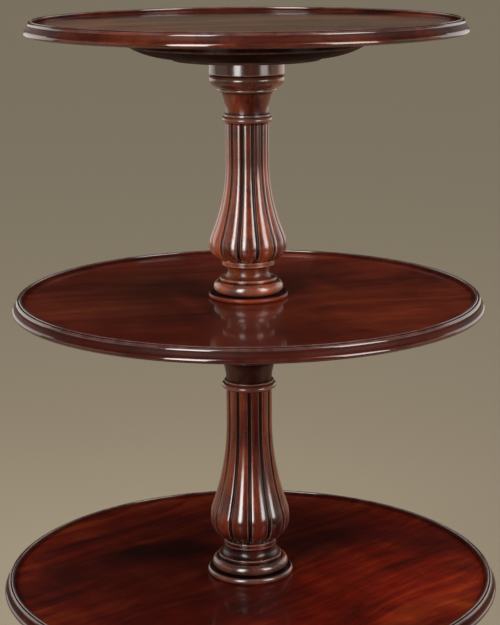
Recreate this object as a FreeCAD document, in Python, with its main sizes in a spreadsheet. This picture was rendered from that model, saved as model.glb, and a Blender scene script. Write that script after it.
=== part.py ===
# Three-tier side table: round tray boards on turned, lobed columns, on three cabriole legs with castors.
# Millimetres, +Z up. The origin is on the floor under the columns' common axis, and -Y is the front.
import FreeCAD, Part
import math
import os

import Sketcher
from FreeCAD import Placement, Rotation, Vector

PARTS_FOLDER = "parts"
SHEET = "Sizes"
ZERO_LENGTH = 1e-9
EIGHTH_TURN_REACH = math.sqrt(0.5)
CENTRE = 3
FULL_TURN = 360.0
LEG_COUNT = 3
LOBE_COUNT = 12
STRAIGHT_STEPS = 3
SWEEP_STEPS = 8
TUCK_STEPS = 4
BLOCK_SCREW_COUNT = 4
BASE_SCREW_COUNT = 6
CASTOR_SCREW_COUNT = 3
FIRST_LEG_AZIMUTH = -90.0
TIER_NAMES = ("top", "middle", "lower")

SIZES = {
    # Floor to the crest of each rim
    "top_rim_height": 1165.5,
    "middle_rim_height": 814.0,
    "lower_rim_height": 436.0,
    # Boards and the moulding that runs round them
    "top_tier_radius": 279.2,
    "middle_tier_radius": 305.0,
    "lower_tier_radius": 328.2,
    "tier_thickness": 18.5,
    "panel_sink": 5.5,
    "rim_bead_height": 7.0,
    "rim_fascia_inset": 4.9,
    "rim_ovolo_drop": 1.0,
    "rim_ovolo_height": 4.2,
    "rim_ovolo_width": 3.2,
    "rim_quirk_depth": 1.2,
    "rim_quirk_width": 0.9,
    "rim_crest_width": 3.2,
    "rim_step_height": 1.0,
    "rim_cove_width": 9.8,
    # Saucer-shaped block under each board
    "block_height": 33.3,
    "block_radius": 150.0,
    "block_sweep_height": 14.2,
    "block_sweep_start": 98.0,
    "block_step_radius": 95.0,
    "block_step_height": 4.0,
    # Wood screws, block to board
    "block_screw_circle": 72.0,
    "block_screw_length": 42.0,
    "block_screw_shank": 2.2,
    "block_screw_head": 4.6,
    "block_screw_head_height": 2.8,
    # Round spigots that join the columns
    "spigot_radius": 16.0,
    "spigot_clearance": 0.15,
    "spigot_seat": 25.0,
    "spigot_end_gap": 1.0,
    # Upper column, from its drum down to its foot
    "upper_drum_radius": 48.5,
    "upper_drum_height": 17.4,
    "upper_quirk_radius": 41.5,
    "upper_quirk_height": 1.5,
    "upper_torus_radius": 48.2,
    "upper_torus_height": 16.0,
    "upper_necking_radius": 38.0,
    "upper_necking_height": 4.5,
    "upper_neck_top_radius": 33.0,
    "upper_neck_radius": 27.6,
    "upper_neck_height": 28.8,
    "upper_collar_radius": 29.4,
    "upper_collar_height": 3.0,
    "upper_astragal_radius": 32.4,
    "upper_astragal_height": 7.2,
    "upper_shaft_radius": 27.6,
    "upper_shaft_straight": 49.0,
    "upper_bulb_radius": 50.0,
    "upper_bulb_shoulder": 16.0,
    "upper_bulb_rise": 18.4,
    "upper_bulb_end_radius": 34.6,
    "upper_channel_width": 5.0,
    "upper_ring_radius": 34.2,
    "upper_ring_height": 6.0,
    "upper_waist_top_radius": 30.5,
    "upper_waist_radius": 26.7,
    "upper_waist_fall": 8.6,
    "upper_waist_flare": 8.2,
    "upper_waist_foot_radius": 34.5,
    "upper_plinth_radius": 37.0,
    "upper_plinth_height": 4.5,
    "upper_foot_radius": 45.2,
    "upper_foot_height": 15.5,
    "upper_foot_ring_radius": 51.5,
    "upper_foot_ring_height": 6.5,
    # Lower column
    "lower_drum_radius": 51.0,
    "lower_drum_height": 16.0,
    "lower_quirk_radius": 44.0,
    "lower_quirk_height": 1.5,
    "lower_torus_radius": 51.0,
    "lower_torus_height": 16.0,
    "lower_necking_radius": 40.0,
    "lower_necking_height": 4.5,
    "lower_neck_top_radius": 35.5,
    "lower_neck_radius": 29.9,
    "lower_neck_height": 26.7,
    "lower_collar_radius": 32.4,
    "lower_collar_height": 2.9,
    "lower_astragal_radius": 36.0,
    "lower_astragal_height": 8.0,
    "lower_shaft_radius": 30.6,
    "lower_shaft_straight": 45.0,
    "lower_bulb_radius": 53.6,
    "lower_bulb_shoulder": 12.0,
    "lower_bulb_rise": 31.0,
    "lower_bulb_end_radius": 35.6,
    "lower_channel_width": 5.4,
    "lower_ring_radius": 35.3,
    "lower_ring_height": 7.0,
    "lower_waist_top_radius": 33.6,
    "lower_waist_radius": 32.5,
    "lower_waist_fall": 5.5,
    "lower_waist_flare": 8.0,
    "lower_waist_foot_radius": 39.0,
    "lower_plinth_radius": 41.5,
    "lower_plinth_height": 5.0,
    "lower_foot_radius": 50.5,
    "lower_foot_height": 14.0,
    "lower_foot_ring_radius": 57.0,
    "lower_foot_ring_height": 8.5,
    # Base column, which ends in the hub that holds the legs
    "base_drum_radius": 53.0,
    "base_drum_height": 15.0,
    "base_quirk_radius": 46.0,
    "base_quirk_height": 1.5,
    "base_torus_radius": 53.0,
    "base_torus_height": 16.0,
    "base_necking_radius": 42.0,
    "base_necking_height": 4.5,
    "base_neck_top_radius": 38.0,
    "base_neck_radius": 33.5,
    "base_neck_height": 15.0,
    "base_collar_radius": 36.0,
    "base_collar_height": 2.4,
    "base_astragal_radius": 40.0,
    "base_astragal_height": 8.5,
    "base_shaft_radius": 34.4,
    "base_shaft_straight": 5.0,
    "base_bulb_radius": 63.0,
    "base_bulb_shoulder": 18.0,
    "base_bulb_rise": 19.0,
    "base_bulb_end_radius": 43.0,
    "base_channel_width": 6.0,
    "base_ring_radius": 42.4,
    "base_ring_height": 5.0,
    "base_waist_radius": 38.0,
    "base_waist_flare": 7.0,
    "base_waist_foot_radius": 45.0,
    "base_cap_radius": 55.0,
    "base_cap_height": 7.0,
    "hub_radius": 50.0,
    "hub_height": 107.0,
    "hub_rise": 68.0,
    "hub_flat": 44.0,
    # Dovetail between each leg and the hub
    "tongue_depth": 16.0,
    "tongue_neck_width": 18.0,
    "tongue_tail_width": 24.0,
    "tongue_height": 80.0,
    "tongue_clearance": 0.1,
    # Iron plate under the hub
    "base_plate_radius": 43.0,
    "base_plate_thickness": 4.0,
    "base_screw_circle": 36.0,
    "base_screw_length": 26.0,
    "base_screw_shank": 2.4,
    "base_screw_head": 4.8,
    "base_screw_head_height": 2.8,
    # Legs: how far out each section stands, how high over the castor seat, its fall, depth and width
    "hip_rise": 122.0,
    "hip_fall": 0.0,
    "hip_depth": 98.0,
    "hip_width": 44.0,
    "knee_reach": 95.0,
    "knee_rise": 128.0,
    "knee_fall": 14.0,
    "knee_depth": 80.0,
    "knee_width": 48.0,
    "calf_reach": 147.0,
    "calf_rise": 101.0,
    "calf_fall": 40.0,
    "calf_depth": 55.0,
    "calf_width": 43.0,
    "shin_reach": 193.0,
    "shin_rise": 60.0,
    "shin_fall": 41.0,
    "shin_depth": 41.0,
    "shin_width": 38.0,
    "ankle_reach": 238.0,
    "ankle_rise": 28.0,
    "ankle_fall": 22.0,
    "ankle_depth": 36.0,
    "ankle_width": 40.0,
    "toe_reach": 286.0,
    "toe_fall": 0.0,
    "toe_depth": 38.0,
    "toe_width": 45.0,
    "toe_roll_radius": 21.0,
    "toe_roll_width": 48.0,
    "section_crown": 3.0,
    # Castors: the plate under each toe, the horn that swivels on a pintle, the wheel on its axle
    "castor_height": 50.0,
    "castor_inset": 6.0,
    "castor_trail": 14.0,
    "castor_plate_radius": 21.0,
    "castor_plate_thickness": 3.0,
    "castor_screw_circle": 15.0,
    "castor_screw_length": 14.0,
    "castor_screw_shank": 1.6,
    "castor_screw_head": 3.0,
    "castor_screw_head_height": 1.6,
    "pintle_radius": 4.0,
    "pintle_head_radius": 6.5,
    "pintle_head_height": 2.5,
    "horn_gap": 0.3,
    "horn_bridge_thickness": 7.2,
    "horn_width": 23.0,
    "horn_slot_width": 16.0,
    "horn_back": 12.0,
    "horn_front": 13.0,
    "horn_eye_radius": 7.0,
    "axle_radius": 2.5,
    "axle_head_radius": 4.0,
    "axle_head_height": 1.2,
    "wheel_radius": 17.0,
    "wheel_width": 15.0,
    "wheel_crown": 1.2,
    "wheel_rim_radius": 13.0,
    "wheel_hub_radius": 7.0,
    "wheel_dish": 2.0,
    # Play round what turns and round what is fixed
    "running_clearance": 0.06,
    "fixing_clearance": 0.05,
    # Points and slots of all the screws
    "screw_tip": 4.0,
    "screw_slot_width": 1.0,
    "screw_slot_depth": 1.0,
    # Lobed shafts: the turned core, the channels, and each reed's crown as a share of its width
    "shaft_core_radius": 20.0,
    "channel_depth": 3.0,
    "reed_crown_share": 0.06,
    # How far a cutting outline runs past what it cuts
    "cutter_overrun": 2.0,
}


class Size:
    """A length or angle that carries its value and the sheet expression that it is bound to."""

    def __init__(self, text, value):
        self.text = text
        self.value = value

    def __add__(self, other):
        other = as_size(other)
        return Size(f"({self.text} + {other.text})", self.value + other.value)

    def __sub__(self, other):
        other = as_size(other)
        return Size(f"({self.text} - {other.text})", self.value - other.value)

    def __mul__(self, other):
        other = as_size(other)
        return Size(f"({self.text} * {other.text})", self.value * other.value)

    def __truediv__(self, other):
        other = as_size(other)
        return Size(f"({self.text} / {other.text})", self.value / other.value)

    def __neg__(self):
        return Size(f"(0 - {self.text})", -self.value)


def as_size(value):
    """Gives a plain number the form of a size."""
    if isinstance(value, Size):
        return value
    return Size(f"{value:.9f}", float(value))


ORIGIN = as_size(0)


def sagitta_radius(run, rise):
    """Radius of an arc that leaves a straight line tangentially and rises by rise over run."""
    return (run * run + rise * rise) / (rise * 2)


class Outline:
    """A run of lines and arcs in a sketch whose corners and centres are bound to the sheet."""

    def __init__(self, across, up):
        self.corners = [(as_size(across), as_size(up))]
        self.arcs = []

    @property
    def across(self):
        return self.corners[-1][0]

    @property
    def up(self):
        return self.corners[-1][1]

    def line(self, across, up):
        self.corners.append((as_size(across), as_size(up)))
        self.arcs.append(None)

    def arc(self, across, up, centre, clockwise):
        centre_point = (as_size(centre[0]), as_size(centre[1]))
        self.corners.append((as_size(across), as_size(up)))
        self.arcs.append((centre_point, clockwise))

    def draw(self, sketch):
        """Adds the run to a sketch as a closed loop, with a straight line back to its start if need be."""
        if point_of(self.corners[0]).distanceToPoint(point_of(self.corners[-1])) > ZERO_LENGTH:
            self.line(*self.corners[0])
        pieces = [self.add_piece(sketch, index) for index in range(len(self.arcs))]
        for index, (edge, start, end) in enumerate(pieces):
            is_last = index + 1 == len(pieces)
            follower, follower_start, _ = pieces[0 if is_last else index + 1]
            sketch.addConstraint(Sketcher.Constraint("Coincident", edge, end, follower, follower_start))
            if index == 0:
                bind_point(sketch, edge, start, *self.corners[0])
            if not is_last:
                self.bind_end(sketch, index, edge, end)
            if self.arcs[index] is not None:
                self.bind_centre(sketch, index, edge, is_last)

    def add_piece(self, sketch, index):
        """Draws one line or arc and gives its number and the numbers of its two ends."""
        start = point_of(self.corners[index])
        end = point_of(self.corners[index + 1])
        if self.arcs[index] is None:
            return sketch.addGeometry(Part.LineSegment(start, end), False), 1, 2
        centre, clockwise = self.arcs[index]
        middle = point_of(centre)
        circle = Part.Circle(middle, Vector(0, 0, 1), start.distanceToPoint(middle))
        first, last = (end, start) if clockwise else (start, end)
        low = math.atan2(first.y - middle.y, first.x - middle.x)
        high = math.atan2(last.y - middle.y, last.x - middle.x)
        if high <= low:
            high += 2 * math.pi
        edge = sketch.addGeometry(Part.ArcOfCircle(circle, low, high), False)
        return (edge, 2, 1) if clockwise else (edge, 1, 2)

    def bind_centre(self, sketch, index, edge, is_last):
        """Binds an arc's centre: both ways, and on the arc that closes a loop only across its chord."""
        across, up = self.arcs[index][0]
        chord = point_of(self.corners[index + 1]) - point_of(self.corners[index])
        if not is_last or abs(chord.y) >= abs(chord.x):
            bind_distance(sketch, "DistanceX", edge, CENTRE, across)
        if not is_last or abs(chord.y) < abs(chord.x):
            bind_distance(sketch, "DistanceY", edge, CENTRE, up)

    def bind_end(self, sketch, index, edge, end):
        """Binds a segment's end: both ways on a line, and on an arc only the way it runs there."""
        across, up = self.corners[index + 1]
        if self.arcs[index] is None:
            bind_point(sketch, edge, end, across, up)
            return
        centre_across, centre_up = self.arcs[index][0]
        runs_across = abs(up.value - centre_up.value) > abs(across.value - centre_across.value)
        if runs_across:
            bind_distance(sketch, "DistanceX", edge, end, across)
        else:
            bind_distance(sketch, "DistanceY", edge, end, up)


def point_of(corner):
    return Vector(corner[0].value, corner[1].value, 0)


def bind_point(sketch, edge, end, across, up):
    bind_distance(sketch, "DistanceX", edge, end, across)
    bind_distance(sketch, "DistanceY", edge, end, up)


def bind_distance(sketch, kind, edge, end, size):
    """Holds one coordinate of a point to a sheet expression, or to an axis where it is zero."""
    if abs(size.value) < ZERO_LENGTH:
        axis = -2 if kind == "DistanceX" else -1
        sketch.addConstraint(Sketcher.Constraint("PointOnObject", edge, end, axis))
        return
    number = sketch.addConstraint(Sketcher.Constraint(kind, -1, 1, edge, end, size.value))
    sketch.setExpression(f"Constraints[{number}]", size.text)


class Table:
    """The document that holds the sheet of sizes and every piece of the table."""

    def __init__(self):
        self.document = FreeCAD.newDocument("ThreeTierTable")
        self.sheet = self.document.addObject("Spreadsheet::Sheet", SHEET)
        for row, (alias, value) in enumerate(SIZES.items(), start=1):
            self.sheet.set(f"A{row}", alias)
            self.sheet.set(f"B{row}", str(value))
            self.sheet.setAlias(f"B{row}", alias)
        self.document.recompute()
        self.pieces = []

    def size(self, alias):
        return Size(f"{SHEET}.{alias}", float(self.sheet.get(alias)))

    # Helpers that make bodies and features

    def blank(self, label):
        """Starts a body that goes into a piece but is not one by itself."""
        body = self.document.addObject("PartDesign::Body", label)
        body.Label = label
        return body

    def body(self, label, azimuth=0.0, reach=None):
        """Starts a piece, turned about the columns' axis and set out from it where reach is given."""
        body = self.blank(label)
        body.Placement = Placement(Vector(), Rotation(Vector(0, 0, 1), azimuth))
        if reach is not None:
            turn = math.radians(azimuth)
            body.setExpression("Placement.Base.x", (reach * math.cos(turn)).text)
            body.setExpression("Placement.Base.y", (reach * math.sin(turn)).text)
        self.pieces.append(body)
        return body

    def sketch(self, body, name, plane, offset=(ORIGIN, ORIGIN, ORIGIN), fall=None):
        """Adds a sketch on one of the body's own planes, moved by offset in the plane's own axes."""
        sketch = body.newObject("Sketcher::SketchObject", f"{body.Name}_{name}")
        sketch.AttachmentSupport = [(origin_feature(body, plane), "")]
        sketch.MapMode = "FlatFace"
        turn = Rotation(Vector(1, 0, 0), fall.value) if fall is not None else Rotation()
        sketch.AttachmentOffset = Placement(Vector(*(length.value for length in offset)), turn)
        for axis, length in zip("xyz", offset):
            if abs(length.value) > ZERO_LENGTH:
                sketch.setExpression(f"AttachmentOffset.Base.{axis}", length.text)
        if fall is not None and abs(fall.value) > ZERO_LENGTH:
            sketch.setExpression("AttachmentOffset.Rotation.Angle", fall.text)
        return sketch

    def turn(self, body, sketch, name, kind="Revolution"):
        """Turns a sketch about its own upright axis, to add or, as a Groove, to cut."""
        feature = body.newObject(f"PartDesign::{kind}", f"{body.Name}_{name}")
        feature.Profile = sketch
        feature.ReferenceAxis = (sketch, ["V_Axis"])
        feature.Angle = FULL_TURN
        return feature

    def extrude(self, body, sketch, name, kind, length, reverse=False, symmetric=False):
        """Pads or pockets a sketch by a length from the sheet."""
        feature = body.newObject(f"PartDesign::{kind}", f"{body.Name}_{name}")
        feature.Profile = sketch
        feature.Length = length.value
        feature.setExpression("Length", length.text)
        feature.Reversed = reverse
        if symmetric:
            feature.SideType = "Symmetric"
        return feature

    def ring_of(self, body, features, name, count):
        """Repeats features round the body's upright axis."""
        pattern = body.newObject("PartDesign::PolarPattern", f"{body.Name}_{name}")
        pattern.Originals = features
        pattern.Axis = (origin_feature(body, "Z_Axis"), [""])
        pattern.Angle = FULL_TURN
        pattern.Occurrences = count
        body.Tip = pattern
        return pattern

    # Screws and the holes that they are driven into

    def screw_outline(self, kind, clearance=ORIGIN, overrun=ORIGIN):
        """Half section of a countersunk screw that points up, its head's face at height 0."""
        head = self.size(f"{kind}_head") + clearance
        shank = self.size(f"{kind}_shank") + clearance
        length = self.size(f"{kind}_length") + clearance
        outline = Outline(0, -overrun)
        outline.line(head, -overrun)
        if overrun.value > ZERO_LENGTH:
            outline.line(head, ORIGIN)
        outline.line(shank, self.size(f"{kind}_head_height"))
        outline.line(shank, length - self.size("screw_tip"))
        outline.line(0, length)
        return outline

    def screws(self, label, kind, circle, count, height, **place):
        """A ring of slotted screws driven upwards, as separate solids in one piece."""
        body = self.body(label, **place)
        body.AllowCompound = True
        profile = self.sketch(body, "profile", "XZ_Plane", (circle, height, ORIGIN))
        self.screw_outline(kind).draw(profile)
        shank = self.turn(body, profile, "shank")
        slot_plan = self.sketch(body, "slot_plan", "XY_Plane", (circle, ORIGIN, height))
        reach = self.size(f"{kind}_head") + self.size("cutter_overrun")
        half_slot = self.size("screw_slot_width") / 2
        rectangle(-reach, -half_slot, reach, half_slot).draw(slot_plan)
        slot = self.extrude(body, slot_plan, "slot", "Pocket", self.size("screw_slot_depth"), reverse=True)
        self.ring_of(body, [shank, slot], "ring", count)

    def drill(self, body, kind, circle, count, height):
        """Cuts the holes for a ring of screws, each as the screw's own shape and its clearance."""
        profile = self.sketch(body, "drill_profile", "XZ_Plane", (circle, height, ORIGIN))
        clearance = self.size("fixing_clearance")
        self.screw_outline(kind, clearance, self.size("cutter_overrun")).draw(profile)
        hole = self.turn(body, profile, "hole", "Groove")
        self.ring_of(body, [hole], "holes", count)

    # Boards, blocks and foot rings

    def underside(self, tier):
        return self.size(f"{tier}_rim_height") - self.size("tier_thickness")

    def panel_top(self, tier):
        return self.size(f"{tier}_rim_height") - self.size("panel_sink")

    def block_bottom(self, tier):
        return self.underside(tier) - self.size("block_height")

    def spigot_hole(self):
        return self.size("spigot_radius") + self.size("spigot_clearance")

    def tier(self, tier):
        """A round board with its raised rim: bead, hollow, ovolo, quirk, crest and cove."""
        size = self.size
        body = self.body(f"{tier}_tier")
        crest = size(f"{tier}_rim_height")
        radius = size(f"{tier}_tier_radius")
        inner = ORIGIN if tier == "top" else self.spigot_hole()
        bead = size("rim_bead_height") / 2
        bead_centre = radius - bead
        fascia = radius - size("rim_fascia_inset")
        bottom = self.underside(tier)
        hollow_foot = bead_centre + bead * EIGHTH_TURN_REACH
        hollow_bottom = bottom + bead + bead * EIGHTH_TURN_REACH
        ovolo_top = crest - size("rim_ovolo_drop")
        ovolo_bottom = ovolo_top - size("rim_ovolo_height")
        ovolo_radius = sagitta_radius(size("rim_ovolo_height"), size("rim_ovolo_width"))
        hollow_radius = sagitta_radius(ovolo_bottom - hollow_bottom, hollow_foot - fascia)
        quirk_outer = fascia - size("rim_ovolo_width")
        quirk_inner = quirk_outer - size("rim_quirk_width")
        quirk_bottom = ovolo_top - size("rim_quirk_depth")
        crest_radius = size("rim_crest_width") / 2
        crest_base = crest - crest_radius
        crest_inner = quirk_inner - size("rim_crest_width")
        cove_top = crest_base - size("rim_step_height")
        panel = self.panel_top(tier)
        cove_inner = crest_inner - size("rim_cove_width")
        cove_radius = sagitta_radius(size("rim_cove_width"), cove_top - panel)
        outline = Outline(inner, bottom)
        outline.line(bead_centre, bottom)
        outline.arc(hollow_foot, hollow_bottom, (bead_centre, bottom + bead), clockwise=False)
        outline.arc(fascia, ovolo_bottom, (fascia + hollow_radius, ovolo_bottom), clockwise=True)
        outline.arc(quirk_outer, ovolo_top, (fascia - ovolo_radius, ovolo_bottom), clockwise=False)
        outline.line(quirk_outer, quirk_bottom)
        outline.line(quirk_inner, quirk_bottom)
        outline.line(quirk_inner, crest_base)
        outline.arc(crest_inner, crest_base, (quirk_inner - crest_radius, crest_base), clockwise=False)
        outline.line(crest_inner, cove_top)
        outline.arc(cove_inner, panel, (cove_inner, panel + cove_radius), clockwise=True)
        outline.line(inner, panel)
        profile = self.sketch(body, "profile", "XZ_Plane")
        outline.draw(profile)
        self.turn(body, profile, "board")
        circle = size("block_screw_circle")
        self.drill(body, "block_screw", circle, BLOCK_SCREW_COUNT, self.block_bottom(tier))

    def tier_block(self, tier):
        """The turned saucer under a board, with a stepped face that the column's drum meets."""
        size = self.size
        body = self.body(f"{tier}_tier_block")
        bottom = self.block_bottom(tier)
        step = size("block_step_height")
        sweep_start = size("block_sweep_start")
        sweep_top = bottom + step + size("block_sweep_height")
        run = size("block_radius") - sweep_start
        sweep_radius = sagitta_radius(run, size("block_sweep_height"))
        step_edge = size("block_step_radius") - step / 2
        outline = Outline(self.spigot_hole(), bottom)
        outline.line(step_edge, bottom)
        outline.arc(step_edge, bottom + step, (step_edge, bottom + step / 2), clockwise=False)
        outline.line(sweep_start, bottom + step)
        sweep_centre = (sweep_start, bottom + step + sweep_radius)
        outline.arc(size("block_radius"), sweep_top, sweep_centre, clockwise=False)
        outline.line(size("block_radius"), self.underside(tier))
        outline.line(self.spigot_hole(), self.underside(tier))
        profile = self.sketch(body, "profile", "XZ_Plane")
        outline.draw(profile)
        self.turn(body, profile, "saucer")
        self.drill(body, "block_screw", size("block_screw_circle"), BLOCK_SCREW_COUNT, bottom)

    def foot_ring(self, column, tier):
        """The half-round ring that stands on a board round the foot of the column above it."""
        body = self.body(f"{column}_foot_ring")
        height = self.size(f"{column}_foot_ring_height")
        bottom = self.panel_top(tier)
        edge = self.size(f"{column}_foot_ring_radius") - height / 2
        outline = Outline(self.spigot_hole(), bottom)
        outline.line(edge, bottom)
        outline.arc(edge, bottom + height, (edge, bottom + height / 2), clockwise=False)
        outline.line(self.spigot_hole(), bottom + height)
        profile = self.sketch(body, "profile", "XZ_Plane")
        outline.draw(profile)
        self.turn(body, profile, "ring")

    # Columns

    def column_head(self, outline, column):
        """Traces a column's upper mouldings downwards: drum, torus, hollow neck and astragal."""

        def size(name):
            return self.size(f"{column}_{name}")

        band(outline, size("drum_radius"), size("drum_height"))
        band(outline, size("quirk_radius"), size("quirk_height"))
        half_round(outline, size("torus_radius"), size("torus_height"))
        half_round(outline, size("necking_radius"), size("necking_height"))
        hollow(outline, size("neck_top_radius"), size("neck_radius"), size("neck_height"))
        band(outline, size("collar_radius"), size("collar_height"))
        half_round(outline, size("astragal_radius"), size("astragal_height"))

    def shaft_stations(self, column, top, bottom):
        """Heights and crest radii down a shaft: straight, hollow sweep, bulb, then in to the bulb's end."""

        def size(name):
            return self.size(f"{column}_{name}").value

        sweep_top = top - size("shaft_straight")
        widest = bottom + size("bulb_rise")
        swell = size("bulb_radius") - size("shaft_radius")
        sweep = sweep_top - widest
        bow = sagitta_radius(sweep, swell)
        bulb_bow = bow * size("bulb_shoulder") / sweep
        hollow_bow = bow - bulb_bow
        drawn_in = size("bulb_radius") - size("bulb_end_radius")
        tuck_bow = sagitta_radius(size("bulb_rise"), drawn_in)
        tuck_turn = math.atan2(size("bulb_rise"), tuck_bow - drawn_in)
        stations = []
        for step in range(STRAIGHT_STEPS):
            stations.append((top - size("shaft_straight") * step / STRAIGHT_STEPS, size("shaft_radius")))
        for step in range(SWEEP_STEPS):
            rise = sweep * (1 - step / SWEEP_STEPS)
            if rise > size("bulb_shoulder"):
                radius = size("shaft_radius") + hollow_bow - math.sqrt(hollow_bow ** 2 - (sweep - rise) ** 2)
            else:
                radius = size("bulb_radius") - bulb_bow + math.sqrt(bulb_bow ** 2 - rise ** 2)
            stations.append((widest + rise, radius))
        for step in range(TUCK_STEPS + 1):
            turn = tuck_turn * step / TUCK_STEPS
            radius = size("bulb_radius") - tuck_bow * (1 - math.cos(turn))
            stations.append((widest - tuck_bow * math.sin(turn), radius))
        return stations

    def lobed_section(self, column, height, radius):
        """A ring of convex reeds of one crest radius, parted by round channels of constant width."""
        half_pitch = math.pi / LOBE_COUNT
        half_channel = math.asin(self.size(f"{column}_channel_width").value / 2 / radius)
        half_reed = half_pitch - half_channel
        edge = radius - 2 * half_reed * radius * self.size("reed_crown_share").value
        floor = edge - self.size("channel_depth").value
        arcs = []
        for lobe in range(LOBE_COUNT):
            crest_turn = (2 * lobe + 1) * half_pitch
            reed = [(edge, crest_turn - half_reed), (radius, crest_turn), (edge, crest_turn + half_reed)]
            channel_turn = crest_turn + half_pitch
            channel = [reed[2], (floor, channel_turn), (edge, channel_turn + half_channel)]
            for corners in (reed, channel):
                points = [Vector(r * math.cos(turn), r * math.sin(turn), height) for r, turn in corners]
                arcs.append(Part.Arc(*points).toShape())
        return Part.Wire(arcs)

    def join_lobes(self, turning, column, label, top, bottom, azimuth):
        """Lofts the lobed shaft round the turned core and joins the two into one piece."""
        lobes = self.document.addObject("Part::Feature", f"{label}_lobes")
        stations = self.shaft_stations(column, top, bottom)
        sections = [self.lobed_section(column, height, radius) for height, radius in stations]
        lobes.Shape = Part.makeLoft(sections, True, False)
        joined = self.document.addObject("Part::Fuse", f"{label}_joined")
        joined.Base = turning
        joined.Tool = lobes
        joined.Label = label
        joined.Placement = Placement(Vector(), Rotation(Vector(0, 0, 1), azimuth))
        self.pieces.append(joined)

    def column(self, column, tier_above, tier_below):
        """A full column between two boards, with its spigots or sockets and its carved lobes."""

        def size(name):
            return self.size(f"{column}_{name}")

        label = f"{column}_column"
        body = self.blank(f"{label}_turning")
        top = self.block_bottom(tier_above)
        foot = self.panel_top(tier_below) + size("foot_ring_height")
        plinth = foot + size("foot_height")
        flare = plinth + size("plinth_height")
        waist = flare + size("waist_flare")
        ring = waist + size("waist_fall")
        bulb_end = ring + size("ring_height")
        outline = self.column_top(top, has_spigot=column == "upper")
        self.column_head(outline, column)
        shaft_top = outline.up
        outline.line(self.size("shaft_core_radius"), shaft_top)
        outline.line(self.size("shaft_core_radius"), bulb_end)
        band(outline, size("ring_radius"), size("ring_height"))
        hollow(outline, size("waist_top_radius"), size("waist_radius"), size("waist_fall"))
        flared(outline, size("waist_foot_radius"), size("waist_flare"))
        band(outline, size("plinth_radius"), size("plinth_height"))
        half_round(outline, size("foot_radius"), size("foot_height"))
        spigot = self.size("spigot_radius")
        spigot_end = self.block_bottom(tier_below) - self.size("spigot_seat")
        outline.line(spigot, foot)
        outline.line(spigot, spigot_end)
        outline.line(0, spigot_end)
        profile = self.sketch(body, "profile", "XZ_Plane")
        outline.draw(profile)
        self.turn(body, profile, "turning")
        azimuth = FULL_TURN / LOBE_COUNT / 2 if column == "upper" else 0.0
        self.join_lobes(body, column, label, shaft_top.value, bulb_end.value, azimuth)

    def column_top(self, top, has_spigot):
        """Starts a column's outline on its axis, with a spigot into the block or a socket for one."""
        if has_spigot:
            tip = top + self.size("block_height") - self.size("spigot_end_gap")
            radius = self.size("spigot_radius")
        else:
            tip = top - self.size("spigot_seat") - self.size("spigot_end_gap")
            radius = self.spigot_hole()
        outline = Outline(0, tip)
        outline.line(radius, tip)
        outline.line(radius, top)
        return outline

    def hub_bottom(self):
        return self.size("castor_height") + self.size("hub_rise")

    def base_column(self):
        """The short pedestal under the lower board, whose hub is flatted and socketed for the legs."""

        def size(name):
            return self.size(f"base_{name}")

        body = self.blank("base_column_turning")
        bottom = self.hub_bottom()
        hub_top = bottom + self.size("hub_height")
        cap_top = hub_top + size("cap_height")
        ring = cap_top + size("waist_flare")
        bulb_end = ring + size("ring_height")
        outline = self.column_top(self.block_bottom("lower"), has_spigot=False)
        self.column_head(outline, "base")
        shaft_top = outline.up
        outline.line(self.size("shaft_core_radius"), shaft_top)
        outline.line(self.size("shaft_core_radius"), bulb_end)
        band(outline, size("ring_radius"), size("ring_height"))
        outline.line(size("waist_radius"), ring)
        flared(outline, size("waist_foot_radius"), size("waist_flare"))
        half_round(outline, size("cap_radius"), size("cap_height"))
        band(outline, self.size("hub_radius"), self.size("hub_height"))
        outline.line(0, bottom)
        profile = self.sketch(body, "profile", "XZ_Plane")
        outline.draw(profile)
        self.turn(body, profile, "turning")
        self.drill(body, "base_screw", self.size("base_screw_circle"), BASE_SCREW_COUNT, self.plate_bottom())
        self.cut_hub(body, bottom)
        self.join_lobes(body, "base", "base_column", shaft_top.value, bulb_end.value, FIRST_LEG_AZIMUTH)

    def cut_hub(self, body, bottom):
        """Cuts a flat and a dovetail socket for each leg, both open at the hub's underside."""
        flat = self.size("hub_flat")
        overrun = self.size("cutter_overrun")
        reach = self.size("hub_radius") + overrun
        flat_plan = self.sketch(body, "flat_plan", "XY_Plane", (ORIGIN, ORIGIN, bottom))
        rectangle(flat, -reach, reach, reach).draw(flat_plan)
        flat_cut = self.extrude(body, flat_plan, "flat", "Pocket", self.size("hub_height"), reverse=True)
        socket_plan = self.sketch(body, "socket_plan", "XY_Plane", (ORIGIN, ORIGIN, bottom))
        clearance = self.size("tongue_clearance")
        self.dovetail(clearance, overrun).draw(socket_plan)
        depth = self.size("tongue_height") + clearance
        socket = self.extrude(body, socket_plan, "socket", "Pocket", depth, reverse=True)
        self.ring_of(body, [flat_cut, socket], "leg_seats", LEG_COUNT)

    def dovetail(self, clearance, overrun=ORIGIN):
        """Plan of a leg's tongue, wider at its tail inside the hub than at the flat."""
        flat = self.size("hub_flat")
        neck = self.size("tongue_neck_width") / 2 + clearance
        tail = self.size("tongue_tail_width") / 2 + clearance
        end = flat - self.size("tongue_depth") - clearance
        outline = Outline(end, -tail)
        outline.line(flat, -neck)
        if overrun.value > ZERO_LENGTH:
            outline.line(flat + overrun, -neck)
            outline.line(flat + overrun, neck)
        outline.line(flat, neck)
        outline.line(end, tail)
        return outline

    # Legs and the plate that holds them up

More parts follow.
